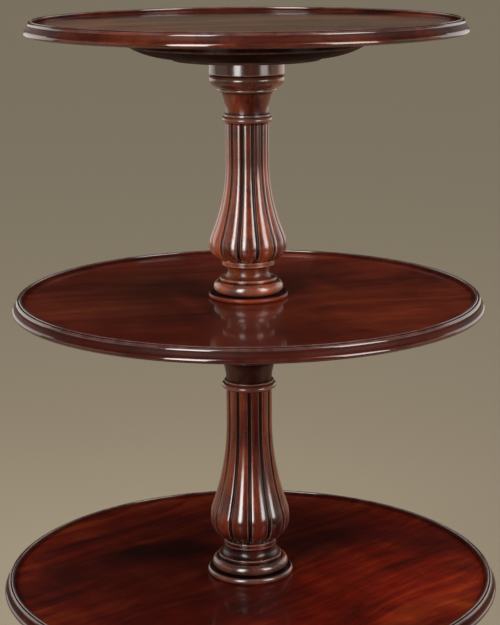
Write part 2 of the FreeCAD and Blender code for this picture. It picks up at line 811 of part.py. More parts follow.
    def leg(self, number):
        """A cabriole leg, lofted through sections from hip to toe, with its tongue and scroll toe."""
        size = self.size
        body = self.body(f"leg_{number}", azimuth=leg_azimuth(number))
        seat = size("castor_height")
        stations = [("hip", size("hub_flat"), size("hip_rise"))]
        for name in ("knee", "calf", "shin", "ankle"):
            stations.append((name, size(f"{name}_reach"), size(f"{name}_rise")))
        stations.append(("toe", size("toe_reach"), size("toe_depth") / 2))
        sections = []
        for name, reach, rise in stations:
            section = self.sketch(body, name, "YZ_Plane", (ORIGIN, seat + rise, reach), size(f"{name}_fall"))
            crowned_section(section, size(f"{name}_width"), size(f"{name}_depth"), size("section_crown"))
            sections.append(section)
        loft = body.newObject("PartDesign::AdditiveLoft", f"{body.Name}_loft")
        loft.Profile = sections[0]
        loft.Sections = sections[1:]
        loft.Ruled = False
        tongue_plan = self.sketch(body, "tongue_plan", "XY_Plane", (ORIGIN, ORIGIN, self.hub_bottom()))
        self.dovetail(ORIGIN).draw(tongue_plan)
        self.extrude(body, tongue_plan, "tongue", "Pad", size("tongue_height"))
        roll_face = self.sketch(body, "roll_face", "XZ_Plane")
        circle_at(roll_face, size("toe_reach"), seat + size("toe_depth") / 2, size("toe_roll_radius"))
        self.extrude(body, roll_face, "roll", "Pad", size("toe_roll_width"), symmetric=True)
        self.cut_toe(body, seat)

    def cut_toe(self, body, seat):
        """Levels a leg's toe for its castor and drills it and the tongue for their screws."""
        size = self.size
        overrun = size("cutter_overrun")
        half_width = size("toe_roll_width") / 2 + overrun
        outer = size("toe_reach") + size("toe_roll_radius") + overrun
        level_plan = self.sketch(body, "level_plan", "XY_Plane", (ORIGIN, ORIGIN, seat))
        rectangle(size("shin_reach"), -half_width, outer, half_width).draw(level_plan)
        self.extrude(body, level_plan, "level", "Pocket", seat)
        pilot_plan = self.sketch(body, "pilot_plan", "XY_Plane", (ORIGIN, ORIGIN, seat))
        clearance = size("fixing_clearance")
        for step in range(CASTOR_SCREW_COUNT):
            turn = math.radians(step * FULL_TURN / CASTOR_SCREW_COUNT)
            across = self.castor_circle() + size("castor_screw_circle") * math.cos(turn)
            up = size("castor_screw_circle") * math.sin(turn)
            circle_at(pilot_plan, across, up, size("castor_screw_shank") + clearance)
        depth = size("castor_screw_length") - size("castor_plate_thickness") + clearance
        self.extrude(body, pilot_plan, "pilots", "Pocket", depth, reverse=True)
        tongue_pilot = self.sketch(body, "tongue_pilot", "XY_Plane", (ORIGIN, ORIGIN, self.hub_bottom()))
        circle_at(tongue_pilot, size("base_screw_circle"), ORIGIN, size("base_screw_shank") + clearance)
        tongue_depth = size("base_screw_length") - size("base_plate_thickness") + clearance
        self.extrude(body, tongue_pilot, "tongue_hole", "Pocket", tongue_depth, reverse=True)

    def plate_bottom(self):
        return self.hub_bottom() - self.size("base_plate_thickness")

    def base_plate(self):
        """The round iron plate screwed up into the hub and the three tongues."""
        body = self.body("base_plate", azimuth=FIRST_LEG_AZIMUTH)
        plan = self.sketch(body, "plan", "XY_Plane", (ORIGIN, ORIGIN, self.plate_bottom()))
        circle_at(plan, ORIGIN, ORIGIN, self.size("base_plate_radius"))
        self.extrude(body, plan, "disc", "Pad", self.size("base_plate_thickness"))
        self.drill(body, "base_screw", self.size("base_screw_circle"), BASE_SCREW_COUNT, self.plate_bottom())

    # Castors, each in its own frame under the toe with the trail pointing outwards

    def castor_circle(self):
        return self.size("toe_reach") - self.size("castor_inset")

    def castor(self, number):
        place = {"azimuth": leg_azimuth(number), "reach": self.castor_circle()}
        name = f"castor_{number}"
        plate_bottom = self.size("castor_height") - self.size("castor_plate_thickness")
        horn_top = plate_bottom - self.size("horn_gap")
        bridge_bottom = horn_top - self.size("horn_bridge_thickness")
        self.castor_plate(f"{name}_plate", plate_bottom, place)
        self.screws(f"{name}_screws", "castor_screw", self.size("castor_screw_circle"),
                    CASTOR_SCREW_COUNT, plate_bottom, **place)
        self.castor_pintle(f"{name}_pintle", bridge_bottom, place)
        self.castor_horn(f"{name}_horn", horn_top, bridge_bottom, place)
        self.castor_axle(f"{name}_axle", place)
        self.castor_wheel(f"{name}_wheel", place)

    def castor_plate(self, label, bottom, place):
        """The round plate screwed under a toe, which the pintle is riveted into."""
        body = self.body(label, **place)
        plan = self.sketch(body, "plan", "XY_Plane", (ORIGIN, ORIGIN, bottom))
        circle_at(plan, ORIGIN, ORIGIN, self.size("castor_plate_radius"))
        circle_at(plan, ORIGIN, ORIGIN, self.size("pintle_radius") + self.size("fixing_clearance"))
        self.extrude(body, plan, "disc", "Pad", self.size("castor_plate_thickness"))
        self.drill(body, "castor_screw", self.size("castor_screw_circle"), CASTOR_SCREW_COUNT, bottom)

    def castor_pintle(self, label, bridge_bottom, place):
        """The headed pin that the horn swivels on."""
        body = self.body(label, **place)
        head_top = bridge_bottom - self.size("horn_gap")
        head_bottom = head_top - self.size("pintle_head_height")
        outline = Outline(0, head_bottom)
        outline.line(self.size("pintle_head_radius"), head_bottom)
        outline.line(self.size("pintle_head_radius"), head_top)
        outline.line(self.size("pintle_radius"), head_top)
        outline.line(self.size("pintle_radius"), self.size("castor_height"))
        outline.line(0, self.size("castor_height"))
        profile = self.sketch(body, "profile", "XZ_Plane")
        outline.draw(profile)
        self.turn(body, profile, "pin")

    def castor_horn(self, label, top, bridge_bottom, place):
        """The forked horn: a bridge on the pintle and two arms that carry the axle behind it."""
        size = self.size
        body = self.body(label, **place)
        trail = size("castor_trail")
        axle_height = size("wheel_radius")
        eye = size("horn_eye_radius")
        overrun = size("cutter_overrun")
        side = Outline(-size("horn_back"), top)
        side.line(size("horn_front"), top)
        side.line(trail + eye, axle_height)
        side.arc(trail - eye, axle_height, (trail, axle_height), clockwise=True)
        side.line(-size("horn_back"), bridge_bottom)
        side_face = self.sketch(body, "side_face", "XZ_Plane")
        side.draw(side_face)
        self.extrude(body, side_face, "fork", "Pad", size("horn_width"), symmetric=True)
        slot_face = self.sketch(body, "slot_face", "XZ_Plane")
        reach = trail + eye + overrun
        rectangle(-size("horn_back") - overrun, -overrun, reach, bridge_bottom).draw(slot_face)
        self.extrude(body, slot_face, "slot", "Pocket", size("horn_slot_width"), symmetric=True)
        eye_face = self.sketch(body, "eye_face", "XZ_Plane")
        circle_at(eye_face, trail, axle_height, size("axle_radius") + size("fixing_clearance"))
        self.extrude(body, eye_face, "eyes", "Pocket", size("horn_width") + overrun, symmetric=True)
        pintle_plan = self.sketch(body, "pintle_plan", "XY_Plane", (ORIGIN, ORIGIN, top))
        circle_at(pintle_plan, ORIGIN, ORIGIN, size("pintle_radius") + size("running_clearance"))
        self.extrude(body, pintle_plan, "pintle_hole", "Pocket", size("horn_bridge_thickness") + overrun)

    def axle_place(self):
        """Offset of a sketch whose upright axis is the wheel's axis."""
        return self.size("castor_trail"), ORIGIN, self.size("wheel_radius")

    def castor_axle(self, label, place):
        """The pin through both arms of the horn, riveted over at its ends."""
        body = self.body(label, **place)
        half = self.size("horn_width") / 2
        end = half + self.size("axle_head_height")
        outline = Outline(0, -end)
        for radius, near, far in (("axle_head_radius", -end, -half), ("axle_radius", -half, half),
                                  ("axle_head_radius", half, end)):
            outline.line(self.size(radius), near)
            outline.line(self.size(radius), far)
        outline.line(0, end)
        profile = self.sketch(body, "profile", "XY_Plane", self.axle_place())
        outline.draw(profile)
        self.turn(body, profile, "pin")

    def castor_wheel(self, label, place):
        """The turned wheel, dished between hub and rim, with a crowned tread."""
        size = self.size
        body = self.body(label, **place)
        bore = size("axle_radius") + size("running_clearance")
        half = size("wheel_width") / 2
        dish = half - size("wheel_dish")
        edge = size("wheel_radius") - size("wheel_crown")
        tread_radius = sagitta_radius(half, size("wheel_crown"))
        outline = Outline(bore, -half)
        outline.line(size("wheel_hub_radius"), -half)
        outline.line(size("wheel_hub_radius"), -dish)
        outline.line(size("wheel_rim_radius"), -dish)
        outline.line(size("wheel_rim_radius"), -half)
        outline.line(edge, -half)
        outline.arc(edge, half, (size("wheel_radius") - tread_radius, ORIGIN), clockwise=False)
        outline.line(size("wheel_rim_radius"), half)
        outline.line(size("wheel_rim_radius"), dish)
        outline.line(size("wheel_hub_radius"), dish)
        outline.line(size("wheel_hub_radius"), half)
        outline.line(bore, half)
        profile = self.sketch(body, "profile", "XY_Plane", self.axle_place())
        outline.draw(profile)
        self.turn(body, profile, "wheel")

    # The whole table

    def build(self):
        for tier in TIER_NAMES:
            self.tier(tier)
            self.tier_block(tier)
            self.screws(f"{tier}_block_screws", "block_screw", self.size("block_screw_circle"),
                        BLOCK_SCREW_COUNT, self.block_bottom(tier))
        self.column("upper", "top", "middle")
        self.foot_ring("upper", "middle")
        self.column("lower", "middle", "lower")
        self.foot_ring("lower", "lower")
        self.base_column()
        self.base_plate()
        self.screws("base_plate_screws", "base_screw", self.size("base_screw_circle"),
                    BASE_SCREW_COUNT, self.plate_bottom(), azimuth=FIRST_LEG_AZIMUTH)
        for number in range(1, LEG_COUNT + 1):
            self.leg(number)
            self.castor(number)
        self.document.recompute()

    def check(self):
        """Stops if a feature failed, cut nothing, or left a piece without a sound solid."""
        for item in self.document.Objects:
            if "Invalid" in item.State or "Error" in item.State:
                raise RuntimeError(f"{item.Name} failed: {item.State}")
            if item.TypeId in ("PartDesign::Pocket", "PartDesign::Groove"):
                if item.Shape.Volume >= item.BaseFeature.Shape.Volume - ZERO_LENGTH:
                    raise RuntimeError(f"{item.Name} cuts nothing")
        for piece in self.pieces:
            if piece.Shape.isNull() or not piece.Shape.isValid():
                raise RuntimeError(f"{piece.Label} has no valid shape")

    def export(self):
        os.makedirs(PARTS_FOLDER, exist_ok=True)
        for piece in self.pieces:
            piece.Shape.exportStep(os.path.join(PARTS_FOLDER, f"{piece.Label}.step"))
            solids = len(piece.Shape.Solids)
            print(f"{piece.Label}: {solids} solid(s), {piece.Shape.Volume / 1000:.2f} cm3")


def origin_feature(body, role):
    return next(item for item in body.Origin.OriginFeatures if item.Role == role)


def leg_azimuth(number):
    return FIRST_LEG_AZIMUTH + (number - 1) * FULL_TURN / LEG_COUNT


def rectangle(left, bottom, right, top):
    outline = Outline(left, bottom)
    outline.line(right, bottom)
    outline.line(right, top)
    outline.line(left, top)
    return outline


def circle_at(sketch, across, up, radius):
    """Adds a circle whose centre and radius are bound to the sheet."""
    middle = Vector(across.value, up.value, 0)
    edge = sketch.addGeometry(Part.Circle(middle, Vector(0, 0, 1), radius.value), False)
    bind_point(sketch, edge, CENTRE, across, up)
    number = sketch.addConstraint(Sketcher.Constraint("Radius", edge, radius.value))
    sketch.setExpression(f"Constraints[{number}]", radius.text)


def crowned_section(sketch, width, depth, crown):
    """A four-sided section with gently crowned faces, its overall width and depth as given."""
    side = width / 2 - crown
    top = depth / 2 - crown
    side_radius = sagitta_radius(top, crown)
    top_radius = sagitta_radius(side, crown)
    outline = Outline(-side, -top)
    outline.arc(side, -top, (ORIGIN, top_radius - depth / 2), clockwise=False)
    outline.arc(side, top, (width / 2 - side_radius, ORIGIN), clockwise=False)
    outline.arc(-side, top, (ORIGIN, depth / 2 - top_radius), clockwise=False)
    outline.arc(-side, -top, (side_radius - width / 2, ORIGIN), clockwise=False)
    outline.draw(sketch)


# Mouldings, each traced downwards from the end of an outline

def band(outline, radius, height):
    """A straight fillet or drum."""
    top = outline.up
    outline.line(radius, top)
    outline.line(radius, top - height)


def half_round(outline, radius, height):
    """A torus, bead or astragal of the given outer radius."""
    top = outline.up
    edge = radius - height / 2
    outline.line(edge, top)
    outline.arc(edge, top - height, (edge, top - height / 2), clockwise=True)


def hollow(outline, top_radius, bottom_radius, height):
    """A cavetto that runs in from its top and is upright at its foot."""
    top = outline.up
    bow = sagitta_radius(height, top_radius - bottom_radius)
    outline.line(top_radius, top)
    outline.arc(bottom_radius, top - height, (bottom_radius + bow, top - height), clockwise=False)


def flared(outline, bottom_radius, height):
    """A cavetto that is upright at its top and runs out at its foot."""
    top = outline.up
    radius = outline.across
    bow = sagitta_radius(height, bottom_radius - radius)
    outline.arc(bottom_radius, top - height, (radius + bow, top), clockwise=False)


table = Table()
table.build()
table.check()
table.export()
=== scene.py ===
"""Looks of a three-tier mahogany side table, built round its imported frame.

Every size is in metres, in the frame's own axes: +Z is up and -Y is the table's front.
"""

import logging
import math
from dataclasses import dataclass, fields
from enum import Enum
from typing import Optional, Sequence, Union

import bmesh
import bpy
import numpy as np
from mathutils import Euler, Matrix, Vector


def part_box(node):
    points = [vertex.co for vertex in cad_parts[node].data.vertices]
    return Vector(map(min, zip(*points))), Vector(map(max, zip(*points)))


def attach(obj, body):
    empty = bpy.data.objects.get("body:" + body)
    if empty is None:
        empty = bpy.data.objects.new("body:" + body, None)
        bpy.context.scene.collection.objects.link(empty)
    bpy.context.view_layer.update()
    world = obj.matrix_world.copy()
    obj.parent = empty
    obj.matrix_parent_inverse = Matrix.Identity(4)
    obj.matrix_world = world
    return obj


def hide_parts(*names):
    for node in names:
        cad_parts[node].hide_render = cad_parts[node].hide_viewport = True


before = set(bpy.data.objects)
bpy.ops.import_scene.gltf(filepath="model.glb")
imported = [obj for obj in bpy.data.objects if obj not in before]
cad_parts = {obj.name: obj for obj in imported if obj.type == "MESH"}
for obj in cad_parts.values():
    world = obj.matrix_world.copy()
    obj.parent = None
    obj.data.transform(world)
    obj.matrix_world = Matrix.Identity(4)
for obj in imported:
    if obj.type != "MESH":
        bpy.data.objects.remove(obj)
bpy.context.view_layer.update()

LOG = logging.getLogger("tiered_table")
STAND = "stand"
FULL_TURN = 2 * math.pi
FRONT_TURN = -math.pi / 2
FIRST_LEG_AZIMUTH = -90.0
LEG_COUNT = 3
LEG_PITCH = 360.0 / LEG_COUNT
CREVICE = "crevice"
EDGE = "edge"

# Values of the crevice mask past full grime: wood that has lost its polish, and a line painted black as shade
DULL = 1.55
PAINTED_SHADE_BLACK = 2.5

Point = tuple[float, float]
Moulding = tuple[float, float]
Triple = tuple[float, float, float]
Colour = tuple[float, float, float, float]
Scales = Union[float, Triple]
Socket = bpy.types.NodeSocket
Material = bpy.types.Material
SocketValue = Union[float, tuple, Socket]


# Shader trees

AXES = 3
BLACK = (0.0, 0.0, 0.0, 1.0)
IN_PLAN = (1.0, 1.0, 0.0)
MIDDLE_TONE = 0.5
MIX_INPUTS = (0, 6, 7)
MIX_OUTPUT = 2
NUMBER = "NodeSocketFloat"
COLOUR = "NodeSocketColor"
SOCKET_KINDS = {float: NUMBER, tuple: COLOUR, type(None): "NodeSocketVector"}


class Tree:
    """Adds nodes to one shader tree and joins their sockets."""

    def __init__(self, tree: bpy.types.NodeTree) -> None:
        """Takes the tree to add to."""
        self.tree = tree

    def join(self, node: bpy.types.Node, inputs: dict) -> None:
        """Sets a node's inputs, by name or number, to values or sockets."""
        for key, value in inputs.items():
            if isinstance(value, Socket):
                self.tree.links.new(value, node.inputs[key])
            else:
                node.inputs[key].default_value = value

    def node(self, kind: str, inputs: Optional[dict] = None, **settings) -> bpy.types.Node:
        """Adds a node.

        Args:
            kind: The node's type name.
            inputs: Values or sockets for its inputs, by name or number.
            **settings: Properties of the node, set before its inputs.

        Returns:
            The new node.
        """
        made = self.tree.nodes.new(kind)
        for name, value in settings.items():
            setattr(made, name, value)
        self.join(made, inputs or {})
        return made

    def math(self, operation: str, *operands: SocketValue) -> Socket:
        """Works out one number from others, as the named operation does."""
        return self.node("ShaderNodeMath", dict(enumerate(operands)), operation=operation).outputs[0]

    def vector(self, operation: str, *operands: SocketValue) -> Socket:
        """Works out one vector from others, as the named operation does."""
        return self.node("ShaderNodeVectorMath", dict(enumerate(operands)), operation=operation).outputs[0]

    def scaled(self, vector: SocketValue, factors: Scales) -> Socket:
        """Multiplies a vector by one factor, or by a factor for each axis."""
        axes = factors if isinstance(factors, tuple) else (factors,) * AXES
        return self.vector("MULTIPLY", vector, axes)

    def length(self, vector: SocketValue) -> Socket:
        """Gives the length of a vector."""
        return self.node("ShaderNodeVectorMath", {0: vector}, operation="LENGTH").outputs["Value"]

    def turned(self, vector: SocketValue, angle: SocketValue) -> Socket:
        """Turns a vector back about the upright axis, so that a line at that angle lies along X."""
        inputs = {"Vector": vector, "Angle": angle}
        return self.node("ShaderNodeVectorRotate", inputs, rotation_type="Z_AXIS", invert=True).outputs[0]

    def noise(self, vector: SocketValue, scales: Scales, detail: float = 2.0,
              distortion: float = 0.0) -> bpy.types.Node:
        """Adds a cloud texture, with one scale or a scale for each axis."""
        place = self.scaled(vector, scales)
        inputs = {"Vector": place, "Scale": 1.0, "Detail": detail, "Distortion": distortion}
        return self.node("ShaderNodeTexNoise", inputs)

    def cloud(self, vector: SocketValue, scales: Scales, detail: float = 2.0,
              distortion: float = 0.0) -> Socket:
        """Gives the tone of a cloud texture."""
        return self.noise(vector, scales, detail, distortion).outputs["Fac"]

    def remap(self, value: SocketValue, low: SocketValue, high: SocketValue,
              to_low: SocketValue = 0.0, to_high: SocketValue = 1.0) -> Socket:
        """Carries a number from one range to another and holds it there."""
        inputs = {"Value": value, "From Min": low, "From Max": high, "To Min": to_low, "To Max": to_high}
        return self.node("ShaderNodeMapRange", inputs, clamp=True).outputs[0]

    def mix(self, share: SocketValue, first: SocketValue, second: SocketValue,
            blend: str = "MIX") -> Socket:
        """Mixes two colours."""
        inputs = dict(zip(MIX_INPUTS, (share, first, second)))
        made = self.node("ShaderNodeMix", inputs, data_type="RGBA", blend_type=blend)
        return made.outputs[MIX_OUTPUT]

    def bump(self, height: SocketValue, strength: float, distance: float) -> Socket:
        """Gives a normal that follows a height."""
        inputs = {"Strength": strength, "Distance": distance, "Height": height}
        return self.node("ShaderNodeBump", inputs).outputs[0]

    def mask(self, name: str) -> Socket:
        """Reads a mask that a piece's mesh carries."""
        return self.node("ShaderNodeAttribute", attribute_name=name).outputs["Fac"]


class Effect:
    """A shader node group that several finishes share, built once."""

    def __init__(self, name: str, inputs: dict[str, SocketValue], outputs: dict[str, str]) -> None:
        """Makes the empty group.

        Args:
            name: The group's name.
            inputs: Its inputs and their usual values; the value's form gives the socket's kind.
            outputs: Its outputs and the kind of each socket.
        """
        self.group = bpy.data.node_groups.new(name, "ShaderNodeTree")
        sockets = self.group.interface
        for label, usual in inputs.items():
            socket = sockets.new_socket(name=label, in_out="INPUT", socket_type=SOCKET_KINDS[type(usual)])
            if usual is not None:
                socket.default_value = usual
        for label, kind in outputs.items():
            sockets.new_socket(name=label, in_out="OUTPUT", socket_type=kind)
        self.tree = Tree(self.group)
        self.given = self.tree.node("NodeGroupInput").outputs
        self.result = self.tree.node("NodeGroupOutput").inputs

    def give(self, label: str, socket: Socket) -> None:
        """Joins a socket to one of the group's outputs."""
        self.group.links.new(socket, self.result[label])

    def place(self, tree: Tree, **values: SocketValue) -> bpy.types.NodeOutputs:
        """Puts the group into a material, with its own values, and gives its outputs."""
        return tree.node("ShaderNodeGroup", values, node_tree=self.group).outputs


@dataclass(frozen=True)
class Layer:
    """One cloud in a wood's tone: its weight or the input that gives it, its scales and its form."""

    weight: Union[str, float]
    along: float
    across: float
    detail: float
    distortion: float


GRAIN_LAYERS = (
    Layer("Figure", 2.4, 9.0, 4.0, 0.9),
    Layer("Streaks", 4.0, 60.0, 5.0, 0.4),
    Layer(0.3, 9.0, 210.0, 3.0, 0.2),
    Layer(0.25, 26.0, 850.0, 2.0, 0.0),
    Layer(0.4, 22.0, 9.0, 3.0, 0.6),
)
SWAY_SCALES = (2.6, 4.2, 4.2)
SWAY_REACH = 0.12
DARK_TONE = 0.22
LIGHT_TONE = 0.8
PORE_SCALES = (120.0, 2200.0, 2200.0)
PORE_TONES = (0.62, 0.72)
PORE_STRENGTH = 0.4


def grain_effect() -> Effect:
    """Mahogany grain that runs along X: broad figure, streaks, ripple, fibre and pores.

    Returns:
        A group that gives the wood's colour and a mask of its pores.
    """
    effect = Effect("mahogany_grain", {
        "Vector": None, "Figure": 1.0, "Streaks": 1.0, "Dark": BLACK, "Middle": BLACK, "Light": BLACK,
    }, {"Color": COLOUR, "Pores": NUMBER})
    tree = effect.tree
    given = effect.given
    sway = tree.noise(given["Vector"], SWAY_SCALES).outputs["Color"]
    centred = tree.vector("SUBTRACT", sway, (MIDDLE_TONE,) * AXES)
    swayed = tree.vector("ADD", given["Vector"], tree.scaled(centred, SWAY_REACH))
    tone = MIDDLE_TONE
    for layer in GRAIN_LAYERS:
        weight = given[layer.weight] if isinstance(layer.weight, str) else layer.weight
        scales = (layer.along, layer.across, layer.across)
        stray = tree.math("SUBTRACT", tree.cloud(swayed, scales, layer.detail, layer.distortion), MIDDLE_TONE)
        tone = tree.math("MULTIPLY_ADD", stray, weight, tone)
    deep = tree.mix(tree.remap(tone, DARK_TONE, MIDDLE_TONE), given["Dark"], given["Middle"])
    wood = tree.mix(tree.remap(tone, MIDDLE_TONE, LIGHT_TONE), deep, given["Light"])
    pores = tree.remap(tree.cloud(swayed, PORE_SCALES, detail=1.0), *PORE_TONES)
    effect.give("Color", tree.mix(tree.math("MULTIPLY", pores, PORE_STRENGTH), wood, given["Dark"]))
    effect.give("Pores", pores)
    return effect


GRIME_SCALE = 24.0
GRIME_TONES = (0.25, 0.6, 0.85, 1.0)
# Cloud of rubbed places; its raised floor keeps the pale band along edges continuous, partly wear and partly
# a painted sheen
RUB_AND_SHEEN_SCALE = 70.0
RUB_AND_SHEEN_TONES = (0.32, 0.64, 0.35, 1.0)


def patina_and_shade_effect() -> Effect:
    """Old polish: grime that has settled in hollows, with shade painted into the same mask in quirks, seats
    and necks, and arrises made pale partly by wear and partly as a painted sheen.

    Returns:
        A group that gives the aged colour and a mask of the grime and painted shade.
    """
    effect = Effect("patina_and_shade", {
        "Color": BLACK, "Vector": None, "Crevice": 0.0, "Edge": 0.0, "Grime": BLACK, "Worn": BLACK,
        "Stain": 1.0, "Wear": 1.0,
    }, {"Color": COLOUR, "Grime": NUMBER})
    tree = effect.tree
    given = effect.given
    settled = tree.remap(tree.cloud(given["Vector"], GRIME_SCALE, detail=4.0), *GRIME_TONES)
    grime_and_shade = tree.math("MINIMUM", tree.math("MULTIPLY", given["Crevice"], settled), 1.0)
    rubs_and_sheen = tree.remap(tree.cloud(given["Vector"], RUB_AND_SHEEN_SCALE, detail=5.0), *RUB_AND_SHEEN_TONES)
    wear_and_sheen = tree.math("MULTIPLY", tree.math("MULTIPLY", given["Edge"], rubs_and_sheen), given["Wear"])
    aged = tree.mix(wear_and_sheen, given["Color"], given["Worn"])
    # Past the dulled level the crevice mask takes more of the dark colour, all of it where shade is painted
    # black
    stain = tree.remap(given["Crevice"], DULL, PAINTED_SHADE_BLACK, given["Stain"], 1.0)
    effect.give("Color", tree.mix(tree.math("MULTIPLY", grime_and_shade, stain), aged, given["Grime"]))
    effect.give("Grime", grime_and_shade)
    return effect


POLISH_SCALE = 17.0
POLISH_TONES = (0.3, 0.7)
RIPPLE_SCALE = 30.0
NICK_SCALE = 110.0
NICK_SHAPE = (0.0, 0.18, 1.0, 0.0)


def polish_effect() -> Effect:
    """A hand-rubbed polish: its roughness in patches, and a height of soft ripples and nicks.

    Returns:
        A group that gives a roughness and a height.
    """
    effect = Effect("polish", {"Vector": None, "Smooth": 0.15, "Dull": 0.3, "Nicks": 0.0},
                    {"Roughness": NUMBER, "Height": NUMBER})
    tree = effect.tree
    given = effect.given
    patches = tree.cloud(given["Vector"], POLISH_SCALE, detail=5.0)
    effect.give("Roughness", tree.remap(patches, *POLISH_TONES, given["Smooth"], given["Dull"]))
    cells = tree.node("ShaderNodeTexVoronoi", {"Vector": given["Vector"], "Scale": NICK_SCALE})
    dents = tree.math("MULTIPLY", tree.remap(cells.outputs["Distance"], *NICK_SHAPE), given["Nicks"])
    effect.give("Height", tree.math("SUBTRACT", tree.cloud(given["Vector"], RIPPLE_SCALE), dents))
    return effect


RAGGED_SCALE = 16.0
PATCH_EDGES = (1.0, 0.3)


def patch_effect() -> Effect:
    """A soft ragged oval in plan, for a cloud in the figure, a crack, or painted light and shade over part of
    a board.

    Returns:
        A group that gives a mask, 1 inside the oval.
    """
    effect = Effect("plan_patch", {"Vector": None, "Centre": None, "Turn": 0.0, "Reach": None, "Ragged": 0.5},
                    {"Mask": NUMBER})
    tree = effect.tree
    given = effect.given
    apart = tree.scaled(tree.vector("SUBTRACT", given["Vector"], given["Centre"]), IN_PLAN)
    share = tree.vector("DIVIDE", tree.turned(apart, given["Turn"]), given["Reach"])
    stray = tree.math("SUBTRACT", tree.cloud(given["Vector"], RAGGED_SCALE, detail=4.0), MIDDLE_TONE)
    ragged = tree.math("MULTIPLY_ADD", stray, given["Ragged"], tree.length(share))
    effect.give("Mask", tree.remap(ragged, *PATCH_EDGES))
    return effect


SCRATCH_TURNS = (0.3, 0.75, 1.7, 2.6)
SCRATCH_SCALES = (12.0, 520.0, 0.0)
SCRATCH_TONES = (0.69, 0.76)


def scratch_effect() -> Effect:
    """Fine scratches that run several ways across a board.

    Returns:
        A group that gives a mask, 1 on a scratch.
    """
    effect = Effect("scratches", {"Vector": None}, {"Mask": NUMBER})
    tree = effect.tree
    marks = 0.0
    for turn in SCRATCH_TURNS:
        line = tree.cloud(tree.turned(effect.given["Vector"], turn), SCRATCH_SCALES, detail=1.0)
        marks = tree.math("MAXIMUM", marks, tree.remap(line, *SCRATCH_TONES))
    effect.give("Mask", marks)
    return effect


class Effects:
    """The shared node groups, each built once."""

    def __init__(self) -> None:
        """Builds every group."""
        self.grain = grain_effect()
        self.patina_and_shade = patina_and_shade_effect()
        self.polish = polish_effect()
        self.patch = patch_effect()
        self.scratches = scratch_effect()


# Finishes

class GrainRun(Enum):
    """How a piece's grain lies, as the turn that brings it along X."""

    ALONG_BOARD = (0.0, 0.0, 0.0)
    UP_COLUMN = (0.0, math.pi / 2, 0.0)


def new_material(name: str) -> tuple[Material, Tree, bpy.types.Node]:
    """Starts a material.

    Args:
        name: The material's name.

    Returns:
        The material, its tree and its Principled shader.
    """
    material = bpy.data.materials.new(name)
    material.use_nodes = True
    tree = Tree(material.node_tree)
    return material, tree, material.node_tree.nodes["Principled BSDF"]


@dataclass(frozen=True)
class Patch:
    """A darker or paler place on a board, in plan."""

    centre: Point
    reach: Point
    tint: Colour
    strength: float = 1.0
    turn: float = 0.0
    ragged: float = 0.9

    def mask(self, tree: Tree, effects: Effects, place: Socket) -> Socket:
        """Gives the patch's strength at a place."""
        mask = effects.patch.place(tree, Vector=place, Centre=(*self.centre, 0.0), Reach=(*self.reach, 1.0),
                                   Turn=math.radians(self.turn), Ragged=self.ragged)["Mask"]
        return tree.math("MULTIPLY", mask, self.strength)

    def tinted(self, tree: Tree, effects: Effects, place: Socket,
               colour: Socket) -> Socket:
        """Multiplies a colour by the tint inside the patch.

        Args:
            tree: The material's tree.
            effects: The shared node groups.
            place: Where the surface is.
            colour: The colour to tint.

        Returns:
            The tinted colour.
        """
        return tree.mix(self.mask(tree, effects, place), colour, self.tint, "MULTIPLY")


@dataclass(frozen=True)
class Band:
    """A darker or paler ring of a board, from one radius outwards."""

    inner: float
    outer: float
    tint: Colour
    is_cloudy: bool = False
    cloud_scale: float = 9.0
    cloud_tones: Point = (0.35, 0.6)

    def tinted(self, tree: Tree, place: Socket,
               colour: Socket) -> Socket:
        """Multiplies a colour by the tint, wholly so beyond the outer radius."""
        radius = tree.length(tree.scaled(place, IN_PLAN))
        share = tree.remap(radius, self.inner, self.outer)
        if self.is_cloudy:
            cloud = tree.cloud(place, self.cloud_scale, detail=3.0)
            share = tree.math("MULTIPLY", share, tree.remap(cloud, *self.cloud_tones))
        return tree.mix(share, colour, self.tint, "MULTIPLY")


